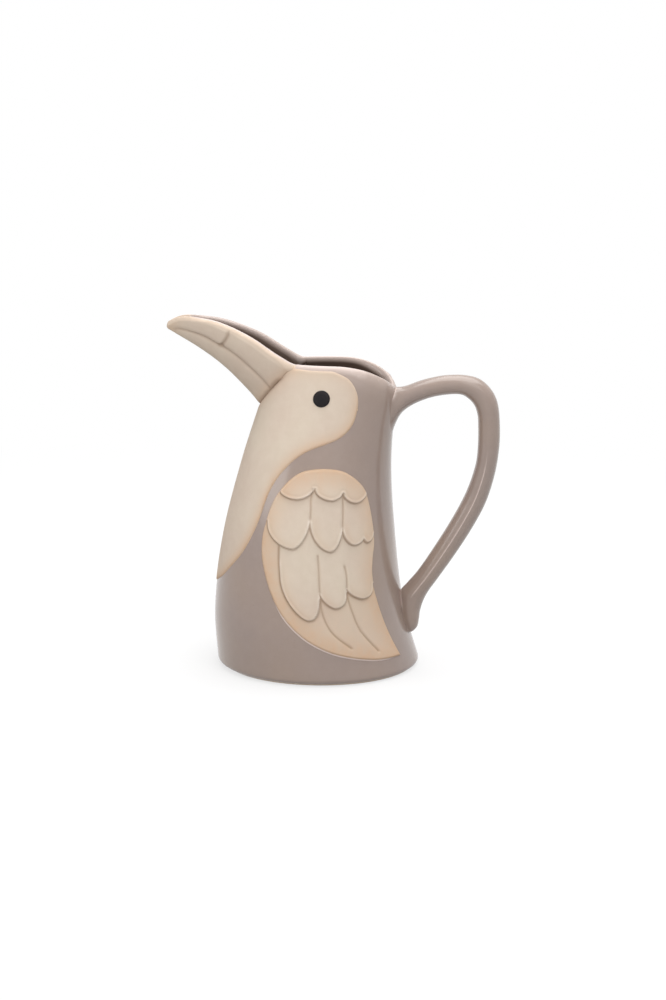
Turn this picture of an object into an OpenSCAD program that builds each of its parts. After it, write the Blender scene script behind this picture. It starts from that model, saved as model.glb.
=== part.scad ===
// Stoneware jug in the shape of a big-billed bird, in millimetres.
// The beak points to -X, the handle to +X, and the bird's left side faces -Y.
// The origin is the middle of the oval foot, on the face that the jug stands on.

/* [Base and walls] */
// Length of the oval base, breast to handle
base_len = 122; // [114:1:128]
// Width of the oval base
base_wid = 112; // [106:1:118]
// Thickness of the clay wall
wall = 4.5; // [3.5:0.1:5.5]
// Thickness of the floor inside the wall
floor_t = 5; // [4:0.5:8]
// Height of the bare foot that the jug stands on
foot_h = 2.5; // [1.5:0.5:4]
// Width of the foot's rest face
foot_face = 9; // [6:0.5:14]
// How far the foot sits in from the wall
foot_inset = 1.5; // [1:0.25:3]
// Rounding of the wall above the foot
base_round = 3; // [1.5:0.1:3.4]
// Slip left between pieces that are luted together
slip = 0.15; // [0.1:0.05:0.25]

/* [Belly] */
// Height of the fullest part of the breast
belly_z = 35; // [28:1:42]
// Reach of the breast forward of the centre
belly_front = 63.5; // [60:0.5:67]
// Reach of the back behind the centre
belly_back = 51.5; // [48:0.5:55]
// Width of the belly
belly_wid = 110; // [104:1:116]

/* [Waist] */
// Height where the sides start to draw in
waist_z = 80; // [72:1:88]
// Reach of the front there
waist_front = 58; // [55:0.5:61]
// Reach of the back there
waist_back = 46; // [43:0.5:49]
// Width there
waist_wid = 97; // [92:1:102]

/* [Shoulder] */
// Height of the shoulder
shoulder_z = 125; // [117:1:133]
// Reach of the front there
shoulder_front = 46.5; // [44:0.5:49]
// Reach of the back there
shoulder_back = 43.5; // [41:0.5:46]
// Width there
shoulder_wid = 77; // [72:1:82]

/* [Neck and mouth] */
// Height of the neck
neck_z = 165; // [158:1:170]
// Reach of the front at the neck
neck_front = 33.5; // [31:0.5:36]
// Reach of the back at the neck
neck_back = 46.5; // [44:0.5:49]
// Width at the neck
neck_wid = 55; // [52:1:60]
// Height of the rim at the sides of the mouth
mouth_z = 185; // [180:1:192]
// Reach of the mouth forward of the centre
mouth_front = 27; // [25:0.5:30]
// Reach of the mouth behind the centre
mouth_back = 50; // [48:0.5:53]
// Width across the mouth, outside
mouth_wid = 43; // [40:1:48]
// How far the rim dips at the back
rim_dip = 16; // [10:1:20]
// How far the throat lies below the rim
throat_drop = 27; // [22:1:32]
// Angle from the back to the notch where the beak starts
notch_u = 127; // [120:1:134]

/* [Beak] */
// Length of the beak forward of the notch
beak_len = 80; // [68:1:92]
// Rise of the beak's crest above the rim
beak_crest = 26; // [18:1:34]
// How far the tip drops below the crest
tip_drop = 4; // [2:0.5:8]
// Height of the blunt end of the tip
tip_h = 2.6; // [1.6:0.2:4]
// Crown of the solid tip between its two edges
tip_crown = 0.8; // [0.4:0.1:1.5]
// Wall of the pouring trough
beak_wall = 3.6; // [2.6:0.2:4.4]
// Thickness of the raised plates on the beak
plate_t = 1; // [0.6:0.1:1.6]
// Groove left between neighbouring plates
plate_groove = 1.6; // [1:0.1:3]

/* [Bib and eyes] */
// Height of the bib's lowest point, on the breast
bib_low_z = 48; // [42:1:56]
// Height of the bib's rear corner, behind the eye
bib_ear_z = 160; // [154:1:164]
// Thickness of the bib
bib_t = 0.6; // [0.5:0.1:1.4]
// Band of glaze left above the bib along the rim
bib_margin = 4; // [3:0.5:6]
// Height of the eye
eye_z = 167; // [162:0.5:170]
// Angle from the back to the eye
eye_u = 92.5; // [86:0.5:100]
// Diameter of the eye
eye_d = 10; // [7:0.5:12]
// Height of the eye's dome
eye_h = 1.6; // [1:0.1:2.5]

/* [Wings] */
// Height of the top of the wing
wing_top_z = 127.5; // [120:0.5:132]
// Height of the wing tip
wing_tip_z = 12; // [9:0.5:18]
// Thickness of the wing's base layer
wing_t = 1; // [0.6:0.1:1.6]
// Thickness of a feather row at its free edge
feather_t = 1.1; // [0.7:0.1:1.8]
// Thickness of a feather row where it starts
feather_root_t = 0.4; // [0.3:0.1:0.6]
// Gap between one feather row and the next
feather_gap = 0.4; // [0.2:0.1:0.8]

/* [Handle] */
// Reach of the handle's centreline behind the centre
handle_reach = 102.5; // [96:0.5:110]
// Height that the top of the loop is drawn towards
handle_crown = 170; // [164:1:176]
// Height where the loop turns down
handle_turn_z = 152; // [146:1:158]
// Height where the grip starts to lean inwards
handle_lean_z = 104; // [97:1:111]
// Height of the middle of the upper root
upper_root_z = 159.5; // [155:0.5:161]
// Height of the middle of the lower root
lower_root_z = 34; // [28:0.5:39]
// Thickness of the handle at the top
handle_t_top = 11; // [9:0.2:13]
// Thickness of the handle in the lower run
handle_t_low = 12.6; // [11:0.2:15]
// Depth of the handle from side to side
handle_d = 14.5; // [12:0.5:17]
// Half height of the upper root where it meets the wall
upper_root_h = 10; // [8:0.5:11]
// Half height of the lower root where it meets the wall
lower_root_h = 13.5; // [11:0.5:15]
// How far the handle's line runs above the middle of the upper root
upper_root_rise = 2; // [0:0.5:4]
// How far the handle's line runs above the middle of the lower root
lower_root_rise = 6.5; // [4:0.5:9]
// Thickness of the thumb-pressed end under the lower root
pressed_t = 5; // [3:0.5:7]
// Spread of the roots past the handle's depth
root_flare = 2; // [0:0.5:4]

/* [Hidden] */

glaze = [0.47, 0.41, 0.38];
clay = [0.84, 0.76, 0.65];
toasted_clay = [0.74, 0.58, 0.42];
eye_glaze = [0.05, 0.04, 0.04];

// The levels that the body's outline runs through
level_z = [0, belly_z, waist_z, shoulder_z, neck_z, mouth_z];
level_front = [base_len / 2, belly_front, waist_front, shoulder_front, neck_front, mouth_front];
level_back = [base_len / 2, belly_back, waist_back, shoulder_back, neck_back, mouth_back];
level_wid = [base_wid, belly_wid, waist_wid, shoulder_wid, neck_wid, mouth_wid];
throat_z = mouth_z - throat_drop;
rim_power = 1.5;
throat_power = 1.45;

// Divisions of the meshed surfaces
rim_cols = 44;
joint_cols = 20;
wall_rows = 18;
lip_steps = 4;
corner_steps = 3;
oval_steps = 96;

// The beak's rim and keel, from the notch or throat at 0 to the tip at 1
rim_s = [0, 0.25, 0.45, 0.62, 0.75, 0.87, 1];
rim_rise = [0, 0.42, 0.73, 0.93, 0.985, 1, 1];
rim_open = [1, 0.79, 0.56, 0.29, 0.15, 0.11, 0.07];
keel_s = [0, 0.1, 0.25, 0.45, 0.65, 0.88, 1];
keel_rise = [0, 0.2, 0.37, 0.58, 0.75, 0.91, 1];
beak_rows = 20;
beak_blend_s = 0.35;
trough_close_s = 0.7;
trough_end_s = 0.86;
tip_start_s = 0.86;

// The plates on the beak: where they start and end, and how far down they reach
plate_start_s = 0.1;
plate_split_s = 0.49;
plate_end_s = 0.92;
plate_top_j = 0.03;
upper_plate_j = 0.19;
tip_plate_j = 0.21;
plate_cols = 12;
plate_rows = 5;

// The bib's outline on one side: angle from the back, then share of its height
bib_low_edge = [[60, 0.97], [63.5, 0.9], [76, 0.84], [92, 0.8], [108, 0.7], [118, 0.55],
    [121.5, 0.42], [131, 0.245], [152, 0.085], [180, 0]];
bib_top_edge = [[60, 1.035], [65.5, 1.115], [75, 1.17], [86, 1.3], [98, 1.3], [110, 1.3],
    [123, 1.3], [138, 1.3], [158, 1.3], [180, 1.3]];
bib_cols = 27;
bib_rows = 10;

// The wing's outline: angle from the back, then share of the wing's height
wing_front_edge = [[75, 1], [97, 0.952], [112.5, 0.8], [115.5, 0.61], [104.5, 0.345],
    [86, 0.146], [62, 0.042], [26.5, 0]];
wing_back_edge = [[68, 1], [50, 0.945], [37.5, 0.83], [33.5, 0.66], [37, 0.43], [33.5, 0.27],
    [28.5, 0.12], [24.5, 0.02]];
wing_rows = 28;
wing_cols = 12;

// The feather rows: cusps between the feathers, and the lowest point of each feather,
// as share of the way from the wing's front edge to its back edge, then share of its height
covert_top = 0.985;
covert_cusps = [[0.03, 0.88], [0.355, 0.898], [0.69, 0.872], [0.97, 0.858]];
covert_lows = [[0.215, 0.841], [0.575, 0.84], [0.826, 0.819]];
secondary_cusps = [[0.03, 0.72], [0.39, 0.75], [0.673, 0.69], [0.876, 0.64], [0.97, 0.645]];
secondary_lows = [[0.26, 0.598], [0.581, 0.583], [0.79, 0.609], [0.928, 0.609]];
primary_cusps = [[0.135, 0.4], [0.437, 0.36], [0.7, 0.375], [0.97, 0.4]];
primary_lows = [[0.227, 0.24], [0.545, 0.3], [0.84, 0.333]];
feather_steps = 12;
feather_rows = 5;

// The handle's centreline leaves each root along these leads, in X and Z
upper_lead = [40.5, 23];
lower_lead = [41, 57];
handle_rings = 22;
handle_sides = 20;
root_share = 0.1;
pressed_share = 0.8;
root_steps = 4;

// Smooth curve through values given at rising stations
function span_of(zs, z, i = 0) = (i >= len(zs) - 2 || z < zs[i + 1]) ? i : span_of(zs, z, i + 1);
function slope_at(zs, vs, i) =
    let (a = max(i - 1, 0), b = min(i + 1, len(zs) - 1))
    (vs[b] - vs[a]) / (zs[b] - zs[a]);
function smooth_at(zs, vs, z) =
    let (i = span_of(zs, z), h = zs[i + 1] - zs[i], t = (z - zs[i]) / h)
    (2 * t ^ 3 - 3 * t ^ 2 + 1) * vs[i]
    + (t ^ 3 - 2 * t ^ 2 + t) * h * slope_at(zs, vs, i)
    + (3 * t ^ 2 - 2 * t ^ 3) * vs[i + 1]
    + (t ^ 3 - t ^ 2) * h * slope_at(zs, vs, i + 1);

// Smooth curve through points, with t from 0 to 1
function curve_at(pts, t) =
    let (
        n = len(pts) - 1,
        i = min(floor(t * n), n - 1),
        f = t * n - i,
        a = pts[max(i - 1, 0)],
        b = pts[i],
        c = pts[i + 1],
        d = pts[min(i + 2, n)]
    )
    b + f * (c - a) / 2 + f ^ 2 * (a - 2.5 * b + 2 * c - d / 2) + f ^ 3 * (1.5 * (b - c) + (d - a) / 2);
function bezier_at(p, t) =
    (1 - t) ^ 3 * p[0] + 3 * t * (1 - t) ^ 2 * p[1] + 3 * t ^ 2 * (1 - t) * p[2] + t ^ 3 * p[3];
function lerp(a, b, t) = a + (b - a) * t;
function ease(t) = let (c = min(max(t, 0), 1)) c * c * (3 - 2 * c);

// The body's oval at a height: middle in X, half length and half width
function oval(z) =
    let (
        front = smooth_at(level_z, level_front, z),
        back = smooth_at(level_z, level_back, z)
    )
    [(back - front) / 2, (back + front) / 2, smooth_at(level_z, level_wid, z) / 2];

// A point on the body: u is 0 at the handle, 90 on the bird's left and 180 at the breast
function body_at(u, z, off = 0) =
    let (o = oval(z))
    [o[0] + (o[1] + off) * cos(u), -(o[2] + off) * sin(u), z];
function back_x(y, z) =
    let (o = oval(z))
    o[0] + o[1] * sqrt(max(1 - (y / o[2]) ^ 2, 0));

// Height of the free rim, and of the seam under the beak, round the body
function fold(u) = let (a = abs(u)) a > 180 ? 360 - a : a;
function in_beak(u) = fold(u) > notch_u - 0.01;
function rim_z(u) =
    let (a = fold(u))
    in_beak(u) ? throat_z + throat_drop * ((180 - a) / (180 - notch_u)) ^ throat_power
    : mouth_z - rim_dip * (1 - sin(min(a, 90)) ^ rim_power);

// One closed outline of the wall: up the outside, over the lip and down the inside
function wall_loop(u) =
    let (
        top = rim_z(u),
        lip = in_beak(u) ? 0 : wall / 2,
        low = foot_h + base_round
    )
    concat(
        [for (k = [0:corner_steps - 1]) let (a = 90 * k / corner_steps)
            body_at(u, low - base_round * cos(a), base_round * (sin(a) - 1))],
        [for (i = [0:wall_rows]) body_at(u, lerp(low, top - lip, i / wall_rows))],
        [for (k = [1:lip_steps - 1]) let (a = 180 * k / lip_steps)
            body_at(u, top - lip + lip * sin(a), wall / 2 * (cos(a) - 1))],
        [for (i = [wall_rows:-1:0]) body_at(u, lerp(foot_h, top - lip, i / wall_rows), -wall)]
    );

// Two triangles over a patch with the corners a, b, c and d
function patch_faces(a, b, c, d) = [[a, c, b], [a, d, c]];

// Solid between two matching grids of points
module slab(outer, inner) {
    n = len(outer);
    m = len(outer[0]);
    skin = n * m;
    corners = [for (i = [0:n - 2], j = [0:m - 2]) i * m + j];
    edge = concat(
        [for (j = [0:m - 2]) j],
        [for (i = [0:n - 2]) i * m + m - 1],
        [for (j = [m - 1:-1:1]) (n - 1) * m + j],
        [for (i = [n - 1:-1:1]) i * m]
    );
    e = len(edge);
    polyhedron(
        points = concat([for (row = outer) each row], [for (row = inner) each row]),
        faces = concat(
            [for (a = corners) each patch_faces(a, a + 1, a + m + 1, a + m)],
            [for (a = corners) let (b = a + skin) each patch_faces(b, b + m, b + m + 1, b + 1)],
            [for (k = [0:e - 1]) let (a = edge[k], b = edge[(k + 1) % e])
                each patch_faces(a, a + skin, b + skin, b)]
        ),
        convexity = 4
    );
}

// Solid through a row of closed rings, with strips across its two ends
module ring_solid(rings) {
    n = len(rings);
    m = len(rings[0]);
    last = (n - 1) * m;
    half = m / 2;
    polyhedron(
        points = [for (ring = rings) each ring],
        faces = concat(
            [for (i = [0:n - 2], j = [0:m - 1]) let (k = (j + 1) % m)
                each patch_faces(i * m + j, i * m + k, (i + 1) * m + k, (i + 1) * m + j)],
            [for (j = [0:half - 2]) each patch_faces(j, m - 1 - j, m - 2 - j, j + 1)],
            [for (j = [0:half - 2]) let (a = last + j, b = last + m - 1 - j)
                each patch_faces(a, a + 1, b - 1, b)]
        ),
        convexity = 6
    );
}

// Solid whose rings close on themselves, like a tyre
module tyre_solid(rings) {
    n = len(rings);
    m = len(rings[0]);
    polyhedron(
        points = [for (ring = rings) each ring],
        faces = [for (i = [0:n - 1], j = [0:m - 1]) let (k = (j + 1) % m, b = (i + 1) % n)
            each patch_faces(i * m + j, i * m + k, b * m + k, b * m + j)],
        convexity = 6
    );
}

module mirrored(left) {
    if (left) children();
    else mirror([0, 1, 0]) children();
}

module body_wall() {
    step = 2 * notch_u / rim_cols;
    joint_step = (360 - 2 * notch_u) / joint_cols;
    us = concat(
        [for (i = [0:rim_cols - 1]) i * step - notch_u],
        [for (i = [0:joint_cols - 1]) notch_u + i * joint_step]
    );
    color(glaze) tyre_solid([for (u = us) wall_loop(u)]);
}

// Flat oval that fits inside the wall
module floor_disc() {
    floor_rows = 4;
    outline = [for (i = [0:floor_rows]) let (z = foot_h + floor_t * i / floor_rows)
        [for (k = [0:oval_steps - 1]) body_at(-360 * (k + 0.5) / oval_steps, z, -wall - slip)]];
    color(glaze) ring_solid(outline);
}

module foot_ring() {
    function outline(inset) = [for (k = [0:oval_steps - 1])
        let (p = body_at(-360 * k / oval_steps, 0, -inset)) [p.x, p.y]];
    color(toasted_clay) linear_extrude(height = foot_h) difference() {
        polygon(outline(foot_inset));
        polygon(outline(foot_inset + foot_face));
    }
}

// The handle's centreline as two runs that meet at the outermost point
upper_line_z = upper_root_z + upper_root_rise;
lower_line_z = lower_root_z + lower_root_rise;
upper_start = [back_x(0, upper_line_z) + slip, upper_line_z];
lower_end = [back_x(0, lower_line_z) + pressed_t / 2, lower_line_z];
handle_upper = [upper_start, upper_start + upper_lead, [handle_reach, handle_crown],
    [handle_reach, handle_turn_z]];
handle_lower = [[handle_reach, handle_turn_z], [handle_reach, handle_lean_z],
    lower_end + lower_lead, lower_end];
function handle_mid(t) = t < 0.5 ? bezier_at(handle_upper, 2 * t) : bezier_at(handle_lower, 2 * t - 1);
function handle_along(t) =
    let (h = 0.004, d = handle_mid(min(t + h, 1)) - handle_mid(max(t - h, 0)))
    d / norm(d);

// A point of the handle's round section, and of a root's patch on the wall
function grip_at(t, a) =
    let (
        p = handle_mid(t),
        d = handle_along(t),
        r = lerp(handle_t_top, handle_t_low, ease(t)) / 2 * cos(a)
    )
    [p.x - d.y * r, handle_d / 2 * sin(a), p.y + d.x * r];
function root_at(z, half_h, share, a, pad = 0) =
    let (y = share * (handle_d + root_flare) / 2 * sin(a), h = z + share * half_h * cos(a))
    [back_x(y, h) + slip + pad * (1 + cos(a)) / 2, y, h];
function clear_of_wall(p) = [max(p.x, back_x(p.y, p.z) + slip), p.y, p.z];
function handle_ring(t) = [for (k = [0:handle_sides - 1])
    let (
        a = -360 * (k + 0.5) / handle_sides,
        upper = ease(1 - t / root_share),
        lower = ease(1 - (1 - t) / root_share),
        free = grip_at(t, a),
        held = upper > 0 ? lerp(free, root_at(upper_root_z, upper_root_h, 1, a), upper)
            : lerp(free, root_at(lower_root_z, -lower_root_h, pressed_share, a, pressed_t), lower)
    )
    clear_of_wall(held)];

module handle() {
    function patch(z, half_h, share) = [for (k = [0:handle_sides - 1])
        root_at(z, half_h, share, -360 * (k + 0.5) / handle_sides)];
    rings = concat(
        [for (i = [0:root_steps - 1]) patch(upper_root_z, upper_root_h, (i + 0.2) / root_steps)],
        [for (i = [0:2 * handle_rings]) handle_ring(i / (2 * handle_rings))],
        [for (i = [root_steps:-1:0])
            patch(lower_root_z, -lower_root_h, min(i + 0.2, root_steps) / root_steps)]
    );
    color(glaze) ring_solid(rings);
}

// Rim and keel of the beak at a station, and the half width between the rims
notch = body_at(notch_u, mouth_z);
throat = body_at(180, throat_z);
tip_x = notch.x - beak_len;
tip_z = mouth_z + beak_crest - tip_drop;
function tip_fall(s) = s < tip_start_s ? 0 : ((s - tip_start_s) / (1 - tip_start_s)) ^ 2;
function beak_rim(s) =
    let (rise = beak_crest * smooth_at(rim_s, rim_rise, s) - tip_drop * tip_fall(s))
    [lerp(notch.x, tip_x, s), 0, mouth_z + rise];
function beak_keel(s) =
    [lerp(throat.x, tip_x, s), 0, lerp(throat_z, tip_z - tip_h, smooth_at(keel_s, keel_rise, s))];
function beak_open(s) = -notch.y * smooth_at(rim_s, rim_open, s);

// A point on the beak: j is 0 on the left rim, 0.5 on the keel and 1 on the right rim
function beak_section(s, j, off) =
    let (
        r = beak_rim(s),
        k = beak_keel(s),
        d = norm(k - r),
        a = 180 * j
    )
    r + (k - r) * (1 + off / d) * sin(a) + [0, -(beak_open(s) + off) * cos(a), 0];
function beak_seam(j, off) =
    let (u = notch_u + (360 - 2 * notch_u) * j)
    body_at(u, rim_z(u), off) + [0, 0, slip];
function beak_at(s, j, off) = lerp(beak_seam(j, off), beak_section(s, j, off), ease(s / beak_blend_s));

// A point inside the trough, which fills up towards the solid tip
function trough_at(s, j) =
    let (
        r = beak_rim(s),
        k = beak_keel(s),
        d = norm(k - r),
        fill = ease((s - trough_close_s) / (trough_end_s - trough_close_s)),
        depth = max(d - beak_wall, 0) * (1 - fill),
        half = lerp(max(beak_open(s) - beak_wall, beak_open(s) / 3), beak_open(s) * 0.8, fill),
        a = 180 * j,
        bed = r + (k - r) * (depth / d) * sin(a) + [0, 0, tip_crown * fill * sin(a)],
        hollow = bed - [0, half * lerp(cos(a), 1 - 2 * j, fill), 0]
    )
    lerp(beak_seam(j, -wall), hollow, ease(s / beak_blend_s));

module beak_trough() {
    rings = [for (i = [beak_rows:-1:0]) let (s = i / beak_rows) concat(
        [for (j = [0:joint_cols]) beak_at(s, j / joint_cols, 0)],
        [for (j = [joint_cols:-1:0]) trough_at(s, j / joint_cols)]
    )];
    color(clay) ring_solid(rings);
}

// Raised plate on one side of the beak
module beak_plate(start_s, end_s, low_j) {
    function grid(off) = [for (i = [plate_cols:-1:0]) [for (k = [0:plate_rows])
        beak_at(lerp(start_s, end_s, i / plate_cols), lerp(plate_top_j, low_j, k / plate_rows), off)]];
    color(clay) slab(grid(slip + plate_t), grid(slip));
}

module upper_beak(left) {
    split = plate_split_s - plate_groove / beak_len / 2;
    mirrored(left) beak_plate(plate_start_s, split, upper_plate_j);
}

module beak_tip(left) {
    split = plate_split_s + plate_groove / beak_len / 2;
    mirrored(left) beak_plate(split, plate_end_s, tip_plate_j);
}

// Rows of points between two matching edges
function between(top, low, rows) = [for (k = [0:rows])
    [for (i = [0:len(top) - 1]) lerp(top[i], low[i], k / rows)]];

// Layer on the body over a grid of [angle, height] points
module skin_layer(grid, base, first_t, last_t) {
    n = len(grid) - 1;
    function level(raised) = [for (k = [0:n]) [for (p = grid[k])
        body_at(p.x, p.y, base + (raised ? lerp(first_t, last_t, k / n) : 0))]];
    slab(level(true), level(false));
}

module breast_bib() {
    function height(p) = lerp(bib_low_z, bib_ear_z, p.y);
    function low(t) = let (p = curve_at(bib_low_edge, t)) [p.x, height(p)];
    function top(t) =
        let (p = curve_at(bib_top_edge, t), gap = in_beak(p.x) ? slip : bib_margin)
        [p.x, min(height(p), rim_z(p.x) - gap)];
    function across(p) = [360 - p.x, p.y];
    left_t = [for (i = [0:bib_cols]) i / bib_cols];
    right_t = [for (i = [bib_cols - 1:-1:0]) i / bib_cols];
    top_edge = concat([for (t = left_t) top(t)], [for (t = right_t) across(top(t))]);
    low_edge = concat([for (t = left_t) low(t)], [for (t = right_t) across(low(t))]);
    color(clay) skin_layer(between(top_edge, low_edge, bib_rows), slip, bib_t, bib_t);
}

// Round dome seated on the bib, square to the surface under it
module eye(left) {
    step = 0.5;
    seat = body_at(eye_u, eye_z, 2 * slip + bib_t);
    around = body_at(eye_u + step, eye_z) - body_at(eye_u - step, eye_z);
    up = body_at(eye_u, eye_z + step) - body_at(eye_u, eye_z - step);
    out = cross(up, around) / norm(cross(up, around));
    ball = ((eye_d / 2) ^ 2 + eye_h ^ 2) / (2 * eye_h);
    color(eye_glaze) mirrored(left) translate(seat)
        rotate([0, acos(out.z), atan2(out.y, out.x)]) intersection() {
            cylinder(d = eye_d, h = eye_h, $fn = 64);
            translate([0, 0, eye_h - ball]) sphere(r = ball, $fn = 64);
        }
}

function wing_point(p) = [p.x, lerp(wing_tip_z, wing_top_z, p.y)];

module wing(left) {
    front = [for (i = [0:wing_rows]) wing_point(curve_at(wing_front_edge, i / wing_rows))];
    back = [for (i = [0:wing_rows]) wing_point(curve_at(wing_back_edge, i / wing_rows))];
    color(clay) mirrored(left) skin_layer(between(front, back, wing_cols), slip, wing_t, wing_t);
}

// A point of the wing: w is 0 on its front edge and 1 on its back edge
function backwards(list) = [for (i = [len(list) - 1:-1:0]) list[i]];
function angle_on(edge, share) =
    let (rising = backwards(edge))
    smooth_at([for (p = rising) p.y], [for (p = rising) p.x], share);
function wing_at(w, share) =
    wing_point([lerp(angle_on(wing_front_edge, share), angle_on(wing_back_edge, share), w), share]);

// Scalloped edge of a feather row: half an oval between two cusps, skewed to its lowest point
function feather_of(cusps, w, k = 0) =
    (k >= len(cusps) - 2 || w <= cusps[k + 1].x) ? k : feather_of(cusps, w, k + 1);
function skew(a, b, low) = ln((low.x - a.x) / (b.x - a.x)) / ln(0.5);
function edge_share(cusps, lows, w) =
    let (
        k = feather_of(cusps, w),
        a = cusps[k],
        b = cusps[k + 1],
        across = min(max((w - a.x) / (b.x - a.x), 0), 1),
        f = across ^ (1 / skew(a, b, lows[k])),
        dip = lows[k].y - (a.y + b.y) / 2
    )
    lerp(a.y, b.y, f) + 2 * dip * sqrt(f * (1 - f));
function feather_cols(cusps, lows) =
    [for (k = [0:len(lows) - 1], i = [(k == 0 ? 0 : 1):feather_steps])
        let (a = cusps[k], b = cusps[k + 1], f = (1 - cos(180 * i / feather_steps)) / 2)
        lerp(a.x, b.x, f ^ skew(a, b, lows[k]))];

// Upper edge of the row below, clear of the row above by the feather gap on all sides
function under_edge(cusps, lows, w) =
    let (gap = feather_gap / (wing_top_z - wing_tip_z))
    min([for (k = [-1:1]) edge_share(cusps, lows, w + k * gap)]) - gap;

module feather_row(left, cols, tops, lows) {
    base = 2 * slip + wing_t;
    order = [len(cols) - 1:-1:0];
    grid = [for (k = [0:feather_rows]) [for (i = order)
        wing_at(cols[i], lerp(tops[i], lows[i], k / feather_rows))]];
    color(clay) mirrored(left) skin_layer(grid, base, feather_root_t, feather_t);
}

module coverts(left) {
    cols = feather_cols(covert_cusps, covert_lows);
    feather_row(left, cols, [for (w = cols) covert_top],
        [for (w = cols) edge_share(covert_cusps, covert_lows, w)]);
}

module secondaries(left) {
    cols = feather_cols(secondary_cusps, secondary_lows);
    feather_row(left, cols, [for (w = cols) under_edge(covert_cusps, covert_lows, w)],
        [for (w = cols) edge_share(secondary_cusps, secondary_lows, w)]);
}

module primaries(left) {
    cols = feather_cols(primary_cusps, primary_lows);
    feather_row(left, cols, [for (w = cols) under_edge(secondary_cusps, secondary_lows, w)],
        [for (w = cols) edge_share(primary_cusps, primary_lows, w)]);
}

body_wall();
floor_disc();
foot_ring();
handle();
beak_trough();
upper_beak(true);  // upper_beak_left
upper_beak(false);  // upper_beak_right
beak_tip(true);  // beak_tip_left
beak_tip(false);  // beak_tip_right
breast_bib();
eye(true);  // eye_left
eye(false);  // eye_right
wing(true);  // wing_left
wing(false);  // wing_right
primaries(true);  // primaries_left
primaries(false);  // primaries_right
secondaries(true);  // secondaries_left
secondaries(false);  // secondaries_right
coverts(true);  // coverts_left
coverts(false);  // coverts_right
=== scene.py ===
import math
import bmesh
import bpy
import numpy as np
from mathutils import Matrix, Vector
from mathutils.kdtree import KDTree


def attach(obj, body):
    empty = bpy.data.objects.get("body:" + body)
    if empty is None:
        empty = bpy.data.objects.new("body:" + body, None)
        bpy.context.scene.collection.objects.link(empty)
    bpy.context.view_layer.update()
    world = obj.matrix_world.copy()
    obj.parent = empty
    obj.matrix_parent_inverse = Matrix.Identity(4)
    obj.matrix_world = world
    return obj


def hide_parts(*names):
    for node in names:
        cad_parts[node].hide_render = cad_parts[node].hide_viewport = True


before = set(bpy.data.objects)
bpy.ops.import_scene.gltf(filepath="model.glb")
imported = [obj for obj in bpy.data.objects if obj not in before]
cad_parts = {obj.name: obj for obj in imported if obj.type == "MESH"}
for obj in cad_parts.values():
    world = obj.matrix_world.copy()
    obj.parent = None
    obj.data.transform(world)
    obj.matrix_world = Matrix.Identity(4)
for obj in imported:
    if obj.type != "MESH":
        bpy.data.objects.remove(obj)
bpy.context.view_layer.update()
mm = 0.001  # sizes below are in millimetres, and meshes are made in metres
print("frame loaded:", len(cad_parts), "nodes")


# small curve helpers

def lerp(a, b, t):
    return a + (b - a) * t


def ease(t):
    t = np.clip(t, 0, 1)
    return t * t * (3 - 2 * t)


def bell(x):
    return np.exp(-x * x)


def roundOver(x):  # quarter round, 0 at an edge and 1 where the edge is over
    x = np.clip(x, 0, 1)
    return np.sqrt(1 - (1 - x) ** 2)


def smoothAt(stations, values, x):  # smooth curve through values at rising stations
    stations, values = np.asarray(stations, float), np.asarray(values, float)
    slopes = np.empty(len(values))
    slopes[1:-1] = (values[2:] - values[:-2]) / (stations[2:] - stations[:-2])
    slopes[0] = (values[1] - values[0]) / (stations[1] - stations[0])
    slopes[-1] = (values[-1] - values[-2]) / (stations[-1] - stations[-2])
    x = np.asarray(x, float)
    i = np.clip(np.searchsorted(stations, x, side="right") - 1, 0, len(stations) - 2)
    h = stations[i + 1] - stations[i]
    t = (x - stations[i]) / h
    return ((2 * t ** 3 - 3 * t ** 2 + 1) * values[i] + (t ** 3 - 2 * t ** 2 + t) * h * slopes[i]
            + (3 * t ** 2 - 2 * t ** 3) * values[i + 1] + (t ** 3 - t ** 2) * h * slopes[i + 1])


def curveAt(points, t):  # smooth curve through points, t from 0 to 1
    points, t = np.asarray(points, float), np.asarray(t, float)
    n = len(points) - 1
    i = np.minimum((t * n).astype(int), n - 1)
    f = (t * n - i)[..., None]
    a, b = points[np.maximum(i - 1, 0)], points[i]
    c, d = points[i + 1], points[np.minimum(i + 2, n)]
    return (b + f * (c - a) / 2 + f ** 2 * (a - 2.5 * b + 2 * c - d / 2)
            + f ** 3 * (1.5 * (b - c) + (d - a) / 2))


def softMin(a, b, blend):  # the lower of two heights, with the corner between them rounded
    h = np.clip(0.5 + (b - a) / (2 * blend), 0, 1)
    return lerp(b, a, h) - blend * h * (1 - h)


def crowded(count, pull):  # 0 to 1, closer together at both ends
    x = np.linspace(0, 1, count)
    return x - pull * np.sin(2 * np.pi * x) / (2 * np.pi)


def unit(v):
    return v / np.linalg.norm(v, axis=-1, keepdims=True)


def turns(sides):  # angles of the points on a round section
    return 2 * np.pi * np.arange(sides) / sides


def farFrom(curves, points):  # distance in mm from each point to the nearest of some curves
    dots = np.concatenate(curves)
    tree = KDTree(len(dots))
    for k, dot in enumerate(dots):
        tree.insert(dot, k)
    tree.balance()
    flat = points.reshape(-1, 3)
    return np.array([tree.find(p)[2] for p in flat]).reshape(points.shape[:-1])


# node materials

class Wire:  # a shader socket that can stand in a Python expression
    def __init__(self, paint, socket):
        self.paint, self.socket = paint, socket

    def __add__(self, other):
        return self.paint.maths("ADD", self, other)

    def __radd__(self, other):
        return self.paint.maths("ADD", other, self)

    def __sub__(self, other):
        return self.paint.maths("SUBTRACT", self, other)

    def __rsub__(self, other):
        return self.paint.maths("SUBTRACT", other, self)

    def __mul__(self, other):
        return self.paint.maths("MULTIPLY", self, other)

    def __rmul__(self, other):
        return self.paint.maths("MULTIPLY", other, self)


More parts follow.
